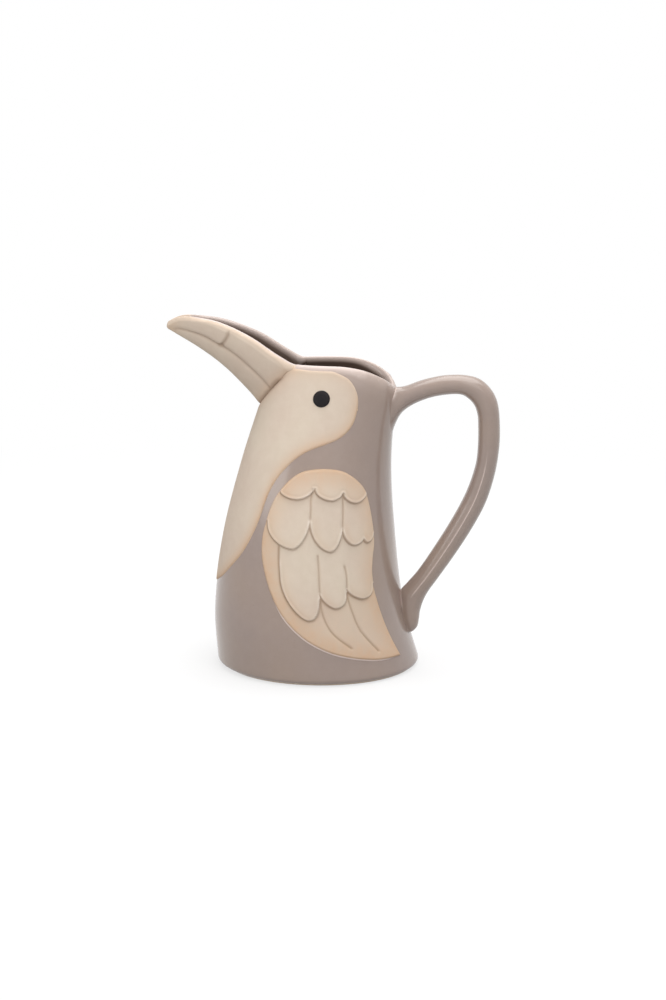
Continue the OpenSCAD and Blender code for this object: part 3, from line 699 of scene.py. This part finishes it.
def beakRelief(s, j):  # height of the two plates over the lower bill, with the grooves between them
    side = np.minimum(j, 1 - j)
    mouthLine = curveAt(beak["mouthLine"], np.linspace(0, 1, beak["mouthSteps"]))
    tipLine = curveAt(beak["tipLine"], np.linspace(0, 1, beak["tipSteps"]))
    places = beakAt(s, side)
    toMouth, toTip = [farFrom([beakAt(*line.T)], places) for line in (mouthLine, tipLine)]
    above = side < np.interp(s, *mouthLine.T)
    past = ease((s - beak["grooveEnd"]) / beak["grooveFade"])  # the grooves die out at the tip
    upper = beak["pillow"] * (1 - np.exp(-toMouth / beak["pillowRun"]))
    lower = beak["lowerPillow"] * (1 - np.exp(-toMouth / beak["lowerRun"]))
    cut = beak["groove"] * bell(toMouth / beak["grooveWide"])
    nail = beak["nail"] * roundOver(toTip / beak["nailRound"]) * np.exp(-toTip / beak["nailRun"])
    onNail = above & (s > np.interp(side, tipLine[:, 1], tipLine[:, 0]))
    plate = np.where(above, upper, lower) + np.where(onNail, nail, 0)
    split = np.where(above, bell(toTip / beak["grooveWide"]), 0) * beak["groove"]
    split = split * ease(toMouth / beak["splitJoin"]) * ease((side - beak["splitTop"]) / beak["splitFade"])
    relief = (plate - cut) * (1 - past) - split
    fromSeam = np.linalg.norm(places - beakAt(0 * s, side), axis=-1)
    seam = ease((side - beak["seamFree"]) / beak["seamFade"])  # the crease dies out before the rim
    slim = lerp(1, beak["slim"], ease((s - beak["slimS"]) / beak["slimRun"]))
    crease = lerp(beak["seamFlush"], -beak["seamDeep"], seam)
    relief = lerp(crease, relief * slim, roundOver(fromSeam / beak["seamRound"]))
    # painted shade in the grooves, in the seam crease and in the corner by the tip's plate
    hollow = stroke(beak["grooveShade"], toMouth) * (1 - past) + split / beak["groove"] * beak["splitShade"]
    hollow = hollow + seam * stroke(beak["seamShade"], fromSeam)
    corner = bell(toMouth / beak["cornerMouth"]) * bell(toTip / beak["cornerTip"])
    return relief, np.clip(hollow + beak["cornerShade"] * corner, 0, 1), fromSeam


def beakRows():
    tip = beak["tipRound"]
    return np.concatenate([[0], np.linspace(beak["firstS"], tip, beak["rows"]),
                           tip + (1 - tip) * np.sin(quarter(beak["tipRows"]))[1:]])


def beakLip(turn):  # section of the free lip on the left side, which the beak's rim grows out of
    ahead, behind = np.minimum(turn, np.pi / 2), np.maximum(turn - np.pi / 2, 0)
    out, wall = body["lipOut"], body["wall"]
    off = -out * (1 - np.cos(ahead)) - (wall - out) * np.sin(behind)
    low = body["lipOutDrop"] * (1 - np.sin(ahead)) + body["lipInDrop"] * (1 - np.cos(behind))
    z = body["mouthZ"] - (low + beak["lipSunk"])
    return bodyAt(body["notch"] - beak["lipStart"], z, lerp(off, -wall / 2, beak["lipIn"]))


def makeBeak():
    s = beakRows()
    deep = np.linalg.norm(beakKeel(s) - beakRim(s), axis=-1)
    drop = lerp(beak["notchDrop"], beak["rimDrop"], ease(s / beak["notchRun"]))  # starts at the lip's depth
    edge = (np.arcsin(np.clip(drop / deep, 0, beak["dropMost"])) / np.pi)[:, None]
    outer, inner = [np.linspace(0, 1, beak[columns]) for columns in ("outsideColumns", "insideColumns")]
    j = lerp(edge, 1 - edge, outer)
    relief, hollow, fromSeam = beakRelief(np.broadcast_to(s[:, None], j.shape), j)
    fade = ease(np.minimum(j, 1 - j) / beak["rimFade"])  # the plates round over into the rim
    outside = beakAt(s[:, None], j, relief * lerp(beak["rimRelief"], 1, fade))
    inside = troughAt(s[:, None], lerp(1 - edge, edge, inner))
    up = unit(beakRim(s) - beakKeel(s))[:, None]
    rise = np.minimum(drop, beak["dropMost"] * deep)[:, None, None]
    steps = beak["arcSteps"]
    turn = np.linspace(0, np.pi, steps + 2)[1:-1]

    def arc(a, b):  # the round over the rim
        along = turn[:, None]
        return a[:, None] + (b - a)[:, None] * (1 - np.cos(along)) / 2 + up * rise * np.sin(along)

    lip, fromLip = beakLip(turn), np.linalg.norm(outside[:, 0] - outside[0, 0], axis=1)
    grown = ((1 - np.clip(fromLip / beak["lipBlend"], 0, 1)) ** 2)[:, None, None]
    right = lerp(arc(outside[:, -1], inside[:, 0]), lip * (1, -1, 1), grown)
    left = lerp(arc(inside[:, -1], outside[:, 0]), lip[::-1], grown)
    rings = np.concatenate([outside, right, inside, left], 1)
    pastRound = np.clip(s - beak["tipRound"], 0, None) / (1 - beak["tipRound"])
    shrink = np.sqrt(np.clip(1 - pastRound ** 2, beak["tipLeast"], 1))
    middle = rings.mean(1, keepdims=True)
    rings = middle + (rings - middle) * shrink[:, None, None]
    tuck = rings[0] - (0, 0, beak["tuckDown"])  # the first ring sits down into the wall
    inward = beak["tuckIn"] * np.repeat([1, 0, -1, 0], [len(outer), steps, len(inner), steps])
    centre = np.array([ovalAt(body["mouthZ"])[0], 0, 0])
    tuck = tuck - unit((tuck - centre) * (1, 1, 0)) * inward[:, None]
    rings = np.concatenate([tuck[None], rings])
    onRim = np.tile(np.repeat([1.0, 0, 1], [steps, len(inner), steps]), (len(s), 1))  # 0 in the trough
    tipShare = ease((s[:, None] - beak["tipToastS"]) / (1 - beak["tipToastS"]))
    toast = stroke(beak["seamToast"], fromSeam) + beak["tipToast"] * tipShare + beak["edgeToast"] * (1 - fade)

    def spread(values, others):
        whole = np.concatenate([values, others], 1)
        return np.concatenate([whole[:1], whole])

    makePiece("beak", rings, clay,
              ("beak_trough", "upper_beak_left", "upper_beak_right", "beak_tip_left", "beak_tip_right"),
              {"toast": spread(toast, beak["rimToast"] * onRim),
               "hollow": spread(np.maximum(hollow, beak["outsideShade"]), 0 * onRim),
               "crest": spread(0 * hollow, beak["rimHighlight"] * onRim)}, front=len(outer))
    return rings


# the glaze that runs from the mouth up the trough and on to its rim

lining = {
    "thick": 0.28, "edgeSunk": 0.25, "deep": 0.5,
    "bare": 3.2, "taperS": 0.74, "endS": 0.9, "endHalf": 3,  # columns left bare on the rim, and a round end
    "drops": (2.4, 1.6, 0.8), "lipDrop": 0.5, "wallFrom": 0.6,  # rows that run on down inside the mouth
    "sideRound": 4, "mouthRound": 3, "endRound": 8,  # how many columns and rows the edges round over
    # the drop, fade and start of the inside set the painted shade in the trough; the pale on rim and bed is
    # glaze that breaks pale, with a painted highlight
    "glazeDrop": 1.3, "glazeFade": 2.2, "insideFrom": 0.5,
    "rimPale": 0.88, "bedPale": 0.4, "paleFrom": 0.4, "paleRun": 0.35,
    "backing": 30,
}


def slidDown(points, drop):  # points on the inside of the wall, moved down along it
    midX, halfX, halfY = ovalAt(points[:, 2])
    wall = body["wall"]
    u = np.degrees(np.arctan2(-points[:, 1] / (halfY - wall), (points[:, 0] - midX) / (halfX - wall)))
    return bodyAt(u, points[:, 2] - drop, -wall)


def makeLining(rings):  # rings are the beak's
    s = beakRows()
    last = int(np.searchsorted(s, lining["endS"]))
    whole = np.concatenate([rings[1:last + 1, beak["outsideColumns"] - 1:], rings[1:last + 1, :1]], 1)
    count = whole.shape[1]  # columns from the right rim to the left rim
    ending = (s[:last] - lining["taperS"]) / (lining["endS"] - lining["taperS"])
    first = lerp(lining["bare"], count / 2 - lining["endHalf"], 1 - roundOver(1 - ending))[:, None]
    place = lerp(first, count - 1 - first, np.linspace(0, 1, count))
    left = np.minimum(place.astype(int), count - 2)
    row = np.arange(last)[:, None]
    sheet = lerp(whole[row, left], whole[row, left + 1], (place - left)[..., None])
    # arcs is 0 at the rim's outer edge and 1 where the trough starts
    arcs = np.minimum(place, count - 1 - place) / (beak["arcSteps"] + 1)
    lipWay = unit(bodyAt(body["notch"] - 1, body["mouthZ"]) - notchPoint)  # along the free lip, off the beak
    lipWay = lipWay * np.where(sheet[0, :, 1:2] > 0, (1, -1, 1), (1, 1, 1))
    onWall = ease((arcs[0, :, None] - lining["wallFrom"]) / (1 - lining["wallFrom"]))
    below = [lerp(sheet[0] + lipWay * drop * lining["lipDrop"], slidDown(sheet[0], drop), onWall)
             for drop in lining["drops"]]
    sheet = np.concatenate([np.array(below), sheet])
    arcs = np.concatenate([np.repeat(arcs[:1], len(below), 0), arcs])
    out = unit(np.cross(np.gradient(sheet, axis=0), np.gradient(sheet, axis=1)))
    if out[len(out) // 2, count // 2, 2] < 0:  # the bed of the trough faces up
        out = -out
    column, row = np.arange(count), np.arange(len(sheet))[:, None]
    fromSide = np.minimum(column, column[::-1]) / lining["sideRound"]
    fromEnd = np.minimum(row / lining["mouthRound"], row[::-1] / lining["endRound"])
    high = lerp(-lining["edgeSunk"], lining["thick"], roundOver(np.minimum(fromSide, fromEnd)))
    top = sheet + out * high[..., None]
    rimTop = top[..., 2].max(1, keepdims=True)
    rimTop[:len(below)] = top[len(below), :, 2].max()
    # painted shade down inside the trough
    inside = ease((rimTop - top[..., 2] - lining["glazeDrop"]) / lining["glazeFade"])
    inside = inside * (arcs > lining["insideFrom"])
    inBed = ease((arcs - lining["paleFrom"]) / lining["paleRun"])
    # pale paint on the rims: glaze that breaks pale, with a painted highlight
    thin = lerp(lining["rimPale"], lining["bedPale"], inBed) * (1 - inside)
    backing = lining["backing"]
    makePiece("troughLining", skinRings(top, sheet - out * lining["deep"], backing), glaze, (),
              skinMarks(backing, thin=thin, inside=inside), front=count)


makeLining(makeBeak())


# the bib of bare clay over face, throat and breast

bib = {
    "ear": 59.2, "thick": 0.45, "deep": 1.6, "edge": 1.8, "sunk": 0.35,
    "margin": 2.5, "notchMargin": 2.0, "marginFrom": 108, "notchClear": 0.5, "corner": 5,
    "top": [(59.2, 160.6), (60.4, 166.5), (64.9, 172.4), (73.1, 178.2), (84.2, 183.2), (100, 192), (130, 205),
            (180, 215)],
    "low": [(59.2, 160.6), (60.1, 154.1), (64.9, 147.6), (72.1, 143.5), (81.5, 140.6), (92.5, 137.2),
            (101, 132.6), (107.6, 126.8), (113.8, 119.1), (118.2, 109.1), (120.4, 97.8), (124.2, 86.9),
            (131, 75.4), (142.9, 64.1), (154.2, 56.4), (180, 48)],
    "seamSunk": 0.3, "seamRound": 2.6, "creaseFade": 4,
    "lowRun": 30,  # height of the lower border's band, which took more of the fire and carries painted shade at its edge
    "toast": (0.25, 0.65), "toastWide": 5, "edgeToast": (0.05, 0.2), "edgeToastWide": 1.6,  # high, and low
    "seamToast": (0.25, 6), "seamShade": (0.8, 1.4), "edgeShade": (0.25, 1.5),  # strength, and width in mm
    "columns": 170, "rows": 110, "crowding": 0.7, "firstStep": 0.12, "borderSteps": 900, "seamSteps": 300,
    "backing": 24,
}


def bibEdge(edge, u):  # height of an edge; the root makes both edges meet in a round ear
    points = np.array(edge, float)
    return smoothAt(np.sqrt(points[:, 0] - bib["ear"]), points[:, 1], np.sqrt(u - bib["ear"]))


def bibTop(u):
    starts = bib["marginFrom"]
    margin = lerp(bib["margin"], bib["notchMargin"], ease((fold(u) - starts) / (body["notch"] - starts)))
    gap = np.where(underBeak(u), beak["slip"], margin)
    return softMin(bibEdge(bib["top"], u), rimZ(u) - gap, bib["corner"])


def bibAngles(count):
    return bib["ear"] + np.linspace(bib["firstStep"], math.sqrt(180 - bib["ear"]), count) ** 2


def bibBorder(count):  # the free border on the left side, from the notch round the ear down to the breast
    u = bibAngles(count)
    free = u[u < body["notch"] - bib["notchClear"]][::-1]
    return bodyAt(np.concatenate([free, u]), np.concatenate([bibTop(free), bibEdge(bib["low"], u)]))


def bothSides(values):  # from the left ear to the right ear
    return np.concatenate([values, values[-2::-1]])


def makeBib():
    half = bibAngles(bib["columns"])
    topZ, lowZ = bothSides(bibTop(half))[:, None], bothSides(bibEdge(bib["low"], half))[:, None]
    down = crowded(bib["rows"], bib["crowding"])
    u = np.concatenate([half, 360 - half[-2::-1]])[:, None] + 0 * down
    z = lerp(topZ, lowZ, down)
    places, border = bodyAt(u, z), bibBorder(bib["borderSteps"])
    toEdge = farFrom([border, border * (1, -1, 1)], places)
    seamU = np.linspace(body["notch"], 360 - body["notch"], bib["seamSteps"])
    toSeam = farFrom([bodyAt(seamU, rimZ(seamU))], places)
    thick = bib["thick"]
    high = lerp(-bib["sunk"], thick, roundOver(toEdge / bib["edge"]))
    creased = ease((body["mouthZ"] - bib["corner"] - z) / bib["creaseFade"])  # no crease near the rim
    crease = lerp(thick, -bib["seamSunk"], creased)
    high = np.minimum(high, lerp(crease, thick, roundOver(toSeam / bib["seamRound"])))
    low = ease((lowZ + bib["lowRun"] - z) / bib["lowRun"])
    toast = (lerp(*bib["toast"], low) * bell(toEdge / bib["toastWide"])
             + lerp(*bib["edgeToast"], low) * bell(toEdge / bib["edgeToastWide"])
             + stroke(bib["seamToast"], toSeam))
    # painted shade in the seam crease and along the lower edge
    hollow = stroke(bib["seamShade"], toSeam) * creased + low * stroke(bib["edgeShade"], toEdge)
    backing = bib["backing"]
    rings = skinRings(bodyAt(u, z, high), bodyAt(u, z, -bib["deep"]), backing)
    makePiece("breastBib", rings, clay, ("breast_bib",),
              skinMarks(backing, toast=toast, hollow=hollow, crest=0 * toast), front=len(down))


makeBib()


# eyes, dark pellets pressed on to the bib

eye = {
    "z": 167, "u": 92.5, "radius": 5, "high": 1.35, "dome": 0.9, "sunk": 0.7, "sunkShare": 0.98,
    "sides": 64, "rings": 16, "lastGap": 0.05,  # the last ring stops just short of the crown
}


def makeEye(name, node, side):  # side is 1 for the bird's left, -1 for its right
    seat = bodyAt(eye["u"], eye["z"], bib["thick"])
    out = bodyOut(eye["u"], eye["z"])
    across = unit(np.cross((0, 0, 1), out))
    up = np.cross(out, across)
    a = turns(eye["sides"])
    circle = (across * np.cos(a)[:, None] + up * np.sin(a)[:, None]) * eye["radius"]
    rings = [seat - out * eye["sunk"] + circle * eye["sunkShare"]]
    for turn in np.linspace(0, np.pi / 2 - eye["lastGap"], eye["rings"]):
        rings.append(seat + out * eye["high"] * np.sin(turn) ** eye["dome"] + circle * np.cos(turn))
    makePiece(name, np.array(rings) * (1, side, 1), eyeGlaze, (node,))


makeEye("eyeLeft", "eye_left", 1)
makeEye("eyeRight", "eye_right", -1)


# wings: share runs from the wing's tip to its top; feather edges are (u, share), from the back to the front

wing = {
    "topZ": 127.5, "tipZ": 12, "thick": 0.75, "deep": 1.7, "sunk": 0.4, "edge": 1.6,
    "frontLine": [(80, 1), (93.4, 0.985), (102, 0.944), (108.5, 0.884), (112.2, 0.828), (114.6, 0.74),
                  (115.9, 0.65), (114.4, 0.554), (110.3, 0.456), (105, 0.357), (98.4, 0.264), (91.8, 0.196),
                  (83.6, 0.132), (73, 0.077), (61.8, 0.043), (47.8, 0.016), (36.4, 0.006), (25, 0.002)],
    "backLine": [(80, 1), (65.6, 0.989), (55.4, 0.956), (47.2, 0.912), (41.2, 0.855), (37.7, 0.77),
                 (35.7, 0.67), (34.9, 0.61), (37.2, 0.53), (38.6, 0.46), (38.1, 0.4), (35.5, 0.305),
                 (32.6, 0.212), (29, 0.105), (25, 0.002)],
    "coverts": {"cusps": [(42.6, 0.867), (62.1, 0.878), (82.9, 0.905), (108, 0.89)],
                "lows": [(51.4, 0.822), (69.7, 0.842), (94.6, 0.848)],
                "wide": 1.3, "shade": 0.6, "round": (1.75, 1.75)},
    "secondaries": {"cusps": [(36.6, 0.655), (45.5, 0.639), (61.2, 0.7), (83.4, 0.745), (113, 0.733)],
                    "lows": [(42, 0.616), (52.2, 0.612), (68.6, 0.588), (93.3, 0.603)],
                    "wide": 1.5, "shade": 0.6, "round": (1.75, 1.75)},
    "primaries": {"cusps": [(39.4, 0.403), (58.4, 0.392), (75.3, 0.377), (99.8, 0.457)],
                  "lows": [(47.9, 0.335), (66.2, 0.302), (82.6, 0.244)],
                  "wide": 2.6, "shade": 0.85, "round": (1.45, 2.6)},
    "firstSide": [(99.8, 0.457), (101.4, 0.546), (102.4, 0.64)],  # front side of the first long feather
    "cuts": [[(84.2, 0.9), (84.7, 0.85), (83.8, 0.8), (83.4, 0.745)],
             [(61.9, 0.87), (61.2, 0.795), (61.2, 0.7)],
             [(76.9, 0.57), (76.1, 0.502), (75.6, 0.43), (75.3, 0.377)],
             [(59.6, 0.51), (58.4, 0.46), (58.4, 0.392)],
             [(75.2, 0.33), (73.1, 0.249), (68.5, 0.168), (59.5, 0.09)],
             [(58.4, 0.37), (56, 0.29), (51.5, 0.173), (42.5, 0.056)]],
    "rootThick": 0.1, "tipThick": 1.7, "crown": 0.4, "flightRise": 0.35, "cutDeep": 0.7, "cutWide": 0.75,
    "crest": 0.25, "crestAt": 0.75, "crestWide": 0.45, "dip": 0.7, "dipAt": 1.9, "dipWide": 0.6,
    "rootFade": 1.6, "overLead": 0.08, "flightLeast": 0.05, "rowLeast": 0.02,
    "highlightWide": 0.4, "frontHighlight": 0.6, "frontRun": 1.5, "firedWide": 4, "cuspFade": 3,
    "underShade": (0.45, 0.95), "underGap": 0.3,  # painted shade under the edge, at a feather's back side, and at its front side, which faces away from the light
    "cutShade": (0.75, 0.5), "rimShade": (0.35, 0.9),  # strength, and width in mm
    "borderToast": (0.5, 9), "edgeToast": (0.08, 2.2),  # the same
    # the second tan here follows the painted shade and warms it
    "flightToast": 0.25, "shadeToast": 0.2, "firedToast": 0.3,
    "topToast": 0.22, "topToastZ": 108, "topToastRun": 18,
    "rows": 270, "rowCrowding": 0.5, "columns": 210, "columnCrowding": 0.6, "ends": (0.004, 0.996),
    "edgeSteps": 1500, "edgeSpare": 4, "cutSteps": 160, "outlineSteps": 700, "sideSteps": 4000, "backing": 14,
}


def wingPoint(u, share):
    return u, lerp(wing["tipZ"], wing["topZ"], share)


def onWing(line):
    return bodyAt(*wingPoint(line[:, 0], line[:, 1]))


def featherEdge(row, u):  # scalloped: from a feather's lowest point two round quarters rise to its cusps
    cusps, lows = np.array(row["cusps"]), np.array(row["lows"])
    k = np.clip(np.searchsorted(cusps[:, 0], u, side="right") - 1, 0, len(lows) - 1)
    low = lows[k]
    ahead = u > low[..., 0]
    near = np.where(ahead[..., None], cusps[k + 1], cusps[k])
    t = np.clip((u - low[..., 0]) / (near[..., 0] - low[..., 0]), 0, 1)
    power = np.where(ahead, *row["round"])
    return lerp(near[..., 1], low[..., 1], (1 - t ** power) ** (1 / power)), np.where(ahead, t, -t)


def wingRelief(u, z):
    share = (z - wing["tipZ"]) / (wing["topZ"] - wing["tipZ"])
    places, steps = bodyAt(u, z), np.linspace(0, 1, wing["cutSteps"])
    rows = [wing["primaries"], wing["secondaries"], wing["coverts"]]
    edges = [featherEdge(row, u) for row in rows]
    tops = [edges[1][0], edges[2][0], np.ones_like(u)]
    flight = np.clip((edges[0][0] - share) / np.maximum(edges[0][0], wing["flightLeast"]), 0, 1)
    high = wing["thick"] + lerp(0, wing["flightRise"], flight)
    crest, hollow, layer, fired = np.zeros((4,) + u.shape)
    for row, (edge, t), top in zip(rows, edges, tops):
        ends = row["cusps"][0][0] - wing["edgeSpare"], row["cusps"][-1][0] + wing["edgeSpare"]
        fine = np.linspace(*ends, wing["edgeSteps"])
        inside = share > edge
        curves = [onWing(np.stack([fine, featherEdge(row, fine)[0]], -1))]
        if row is wing["primaries"]:  # the first long feather has a side of its own
            side = curveAt(wing["firstSide"], steps)
            inside &= u < np.interp(share, side[:, 1], side[:, 0])
            curves = [curves[0][fine < side[0, 0]], onWing(side)]
        away = farFrom(curves, places) * np.where(inside, 1, -1)
        down = np.clip((top - share) / np.maximum(top - edge, wing["rowLeast"]), 0, 1)
        mine = wing["thick"] + lerp(wing["rootThick"], wing["tipThick"], down)
        mine = mine - wing["crown"] * np.abs(t) ** 3 * down ** 2
        front = ease((t + 1) / wing["frontRun"])  # 1 on a feather's front side, 0 on its back side
        over = roundOver(away / row["wide"] + wing["overLead"])
        free = ease(down * wing["rootFade"])  # 0 at the feather's root, under the row above
        ridge = bell((away - wing["crestAt"]) / wing["crestWide"])
        dip = wing["dip"] * bell((away - wing["dipAt"]) / wing["dipWide"])
        high = lerp(high, mine, over) + np.where(inside, wing["crest"] * (ridge - dip) * free, 0)
        layer = lerp(layer, 1, over)  # 0 on the bare flight feathers
        # painted highlight along each feather's rolled edge, weaker on its front side, which faces away from
        # the light
        pale = bell((away - wing["crestAt"]) / wing["highlightWide"]) * lerp(1, wing["frontHighlight"], front)
        # painted shade under each feather's edge, stronger on its front side, which faces away from the light
        shade = lerp(*wing["underShade"], front) * bell((away + wing["underGap"]) / row["shade"])
        tan = bell(away / wing["firedWide"]) * front * ease((1 - t) * wing["cuspFade"])
        crest = np.maximum(crest * (1 - over), pale * inside * free)
        hollow = np.maximum(hollow * (1 - over), shade)
        fired = np.maximum(fired * (1 - over), tan * inside * free)
    for cut in wing["cuts"]:
        away = farFrom([onWing(curveAt(cut, steps))], places)
        high = high - wing["cutDeep"] * bell(away / wing["cutWide"])
        hollow = np.maximum(hollow, stroke(wing["cutShade"], away))
    return high, crest, hollow, layer, fired


def wingSides(shares):  # the two sides of the outline from its top to its tip, at shares of their length
    points, steps = wing["backLine"][::-1] + wing["frontLine"][1:], wing["sideSteps"]
    whole = curveAt(points, np.linspace(0, 1, steps + 1))
    top = round(steps * (len(wing["backLine"]) - 1) / (len(points) - 1))
    sides = []
    for line in (whole[top:], whole[top::-1]):
        spot = onWing(line)
        run = np.concatenate([[0], np.cumsum(np.linalg.norm(np.diff(spot, axis=0), axis=1))])
        even = shares * run[-1]
        sides.append(np.stack([np.interp(even, run, line[:, 0]), np.interp(even, run, line[:, 1])], -1))
    return sides


def wingOutline(count):
    front, back = wingSides(np.linspace(0, 1, count))
    return np.concatenate([front, back[-2:0:-1]])


def makeWings():
    t = crowded(wing["rows"], wing["rowCrowding"])
    c = crowded(wing["columns"], wing["columnCrowding"])
    front, back = wingSides(lerp(*wing["ends"], t))
    u, z = wingPoint(lerp(front[:, :1], back[:, :1], c), lerp(front[:, 1:], back[:, 1:], c))
    high, crest, hollow, layer, fired = wingRelief(u, z)
    toEdge = farFrom([onWing(wingOutline(wing["outlineSteps"]))], bodyAt(u, z))
    rise = roundOver(toEdge / wing["edge"])
    toast = (stroke(wing["borderToast"], toEdge) + stroke(wing["edgeToast"], toEdge)
             + wing["flightToast"] * (1 - layer) + wing["shadeToast"] * hollow + wing["firedToast"] * fired
             + wing["topToast"] * ease((z - wing["topToastZ"]) / wing["topToastRun"]))
    # painted shade along the outline
    hollow = np.maximum(hollow * rise, stroke(wing["rimShade"], toEdge))
    top, backing = bodyAt(u, z, lerp(-wing["sunk"], high, rise)), wing["backing"]
    rings = skinRings(top, bodyAt(u, z, -wing["deep"]), backing)
    marks = skinMarks(backing, toast=toast, crest=crest * rise, hollow=hollow)
    for side, word in ((1, "left"), (-1, "right")):
        nodes = [part + "_" + word for part in ("wing", "primaries", "secondaries", "coverts")]
        makePiece("wing" + word.title(), rings * (1, side, 1), clay, nodes, marks,
                  front=wing["columns"])


makeWings()


# glaze that stopped against the bare clay under the wings and stood up in a thin bead; its pale paint is
# partly glaze that breaks pale and partly a painted highlight

bead = {
    "wide": 0.7, "endWide": 0.3, "high": 0.2, "endHigh": 0.1, "taper": 6, "starts": 0.36, "pale": 1.0,
    "sides": 10, "points": 160, "lineSteps": 600,
}


def makeBead(name, side):
    line = wingSides(np.linspace(0, 1, bead["lineSteps"]))[0]
    line = line[line[:, 1] < bead["starts"]]
    u, z = wingPoint(*line[np.linspace(0, len(line) - 1, bead["points"]).astype(int)].T)
    p, out = bodyAt(u, z), bodyOut(u, z)
    across = unit(np.cross(out, unit(np.gradient(p, axis=0))))
    run = np.linspace(0, 1, len(p))
    full = ease(np.minimum(run, 1 - run) * bead["taper"])  # it thins away at both ends
    a, size = turns(bead["sides"])[None, :, None], full[:, None, None]
    rings = (p[:, None] + across[:, None] * (bead["wide"] * np.cos(a)) * lerp(bead["endWide"], 1, size)
             + out[:, None] * (bead["high"] * np.sin(a)) * lerp(bead["endHigh"], 1, size))
    # pale paint on the bead: glaze that breaks pale, with a painted highlight
    marks = {"thin": np.broadcast_to(bead["pale"] * full[:, None], rings.shape[:2])}
    makePiece(name, rings * (1, side, 1), glaze, (), marks)


makeBead("wingBeadLeft", 1)
makeBead("wingBeadRight", -1)


# floor, lights and camera

studio = {
    "floor": (0.28, 0.28, 0.28, 1), "floorGlow": 0.68, "floorSize": 12, "floorZ": -0.0002,
    "nearFloor": 0.3, "farFloor": 0.7, "air": 0.53, "white": (1, 1, 1, 1),
    "lamps": {
        "key": {"at": (0.65, -1.15, 1.45), "size": (1.1, 1.1), "power": 5},
        "top": {"at": (0.15, 0.25, 1.6), "size": (1.8, 1.5), "power": 23.4},
        "strip": {"at": (-0.98, -0.85, 0.47), "size": (0.64, 0.3), "power": 1.7},
        "fill": {"at": (-1.3, -0.95, 0.75), "size": (1.1, 1.4), "power": 2.8, "mirrored": False},
        "front": {"at": (0.3, -1.68, 0.25), "size": (1.6, 0.8), "power": 9, "mirrored": False},
        "rim": {"at": (1.15, 0.75, 0.5), "size": (0.5, 1.2), "power": 1.2, "mirrored": False},
    },
    "aim": (0.0, 0.0, 0.11),
}


def whiteSeen(paint):  # 1 for what looks at the background, 0 for the light it gives
    rays = ("Is Camera Ray", "Is Glossy Ray", "Is Transmission Ray")
    camera, glossy, through = [paint.node("ShaderNodeLightPath", None, None, ray) for ray in rays]
    return paint.node("ShaderNodeClamp", None, {"Value": camera + glossy + through})


def makeFloor():
    half, z = studio["floorSize"] / 2, studio["floorZ"]
    corners = [(-half, -half, z), (half, -half, z), (half, half, z), (-half, half, z)]
    mesh = bpy.data.meshes.new("floor")
    mesh.from_pydata(corners, [], [(0, 1, 2, 3)])
    floor = bpy.data.objects.new("floor", mesh)
    bpy.context.scene.collection.objects.link(floor)
    paint = Paint(bpy.data.materials.new("paleFloor"))
    seen = whiteSeen(paint)
    away = paint.node("ShaderNodeVectorMath", {"operation": "LENGTH"}, {0: paint.place()}, "Value")
    far = paint.node("ShaderNodeMapRange", {"interpolation_type": "SMOOTHSTEP"}, {
        "Value": away, "From Min": studio["nearFloor"], "From Max": studio["farFloor"]})
    card = paint.node("ShaderNodeBsdfDiffuse", None, {"Color": studio["floor"]})
    glow, white = [paint.node("ShaderNodeEmission", None, {"Color": studio["white"], "Strength": strength})
                   for strength in (studio["floorGlow"] * seen, 1)]
    near = paint.node("ShaderNodeAddShader", None, {0: card, 1: glow})
    sheet = paint.node("ShaderNodeMixShader", None, {0: far * seen, 1: near, 2: white})
    mesh.materials.append(paint.surface(sheet))


def makeStudio():
    world = bpy.data.worlds.new("studioAir")
    bpy.context.scene.world = world
    paint = Paint(world)
    strength = studio["air"] + whiteSeen(paint) * (1 - studio["air"])
    sky = paint.node("ShaderNodeBackground", None, {"Color": studio["white"], "Strength": strength})
    paint.node("ShaderNodeOutputWorld", None, {"Surface": sky})
    for name, lamp in studio["lamps"].items():
        light = bpy.data.lights.new(name, "AREA")
        light.shape, light.energy = "RECTANGLE", lamp["power"]
        light.size, light.size_y = lamp["size"]
        holder = bpy.data.objects.new(name, light)
        holder.location = lamp["at"]
        holder.visible_glossy = lamp.get("mirrored", True)
        facing = Vector(studio["aim"]) - holder.location
        holder.rotation_euler = facing.to_track_quat("-Z", "Y").to_euler()
        bpy.context.scene.collection.objects.link(holder)


shot = {
    "azimuth": 7.6, "elevation": 12.7, "away": 1.32, "aim": (0.0085, 0, 0.1006),
    "focal": 2192.7, "tall": 1000, "sensor": 36,  # focal length and picture height in pixels
}


def makeCamera():
    lens = bpy.data.cameras.new("camera")
    lens.sensor_fit, lens.sensor_height = "VERTICAL", shot["sensor"]
    lens.lens = lens.sensor_height * shot["focal"] / shot["tall"]
    camera = bpy.data.objects.new("camera", lens)
    a, e = math.radians(shot["azimuth"]), math.radians(shot["elevation"])
    back = Vector((math.sin(a) * math.cos(e), -math.cos(a) * math.cos(e), math.sin(e)))
    camera.location = Vector(shot["aim"]) + back * shot["away"]
    camera.rotation_euler = (-back).to_track_quat("-Z", "Y").to_euler()
    bpy.context.scene.collection.objects.link(camera)
    bpy.context.scene.camera = camera
    bpy.context.scene.view_settings.view_transform = "Standard"


makeFloor()
makeStudio()
makeCamera()
print("studio set")
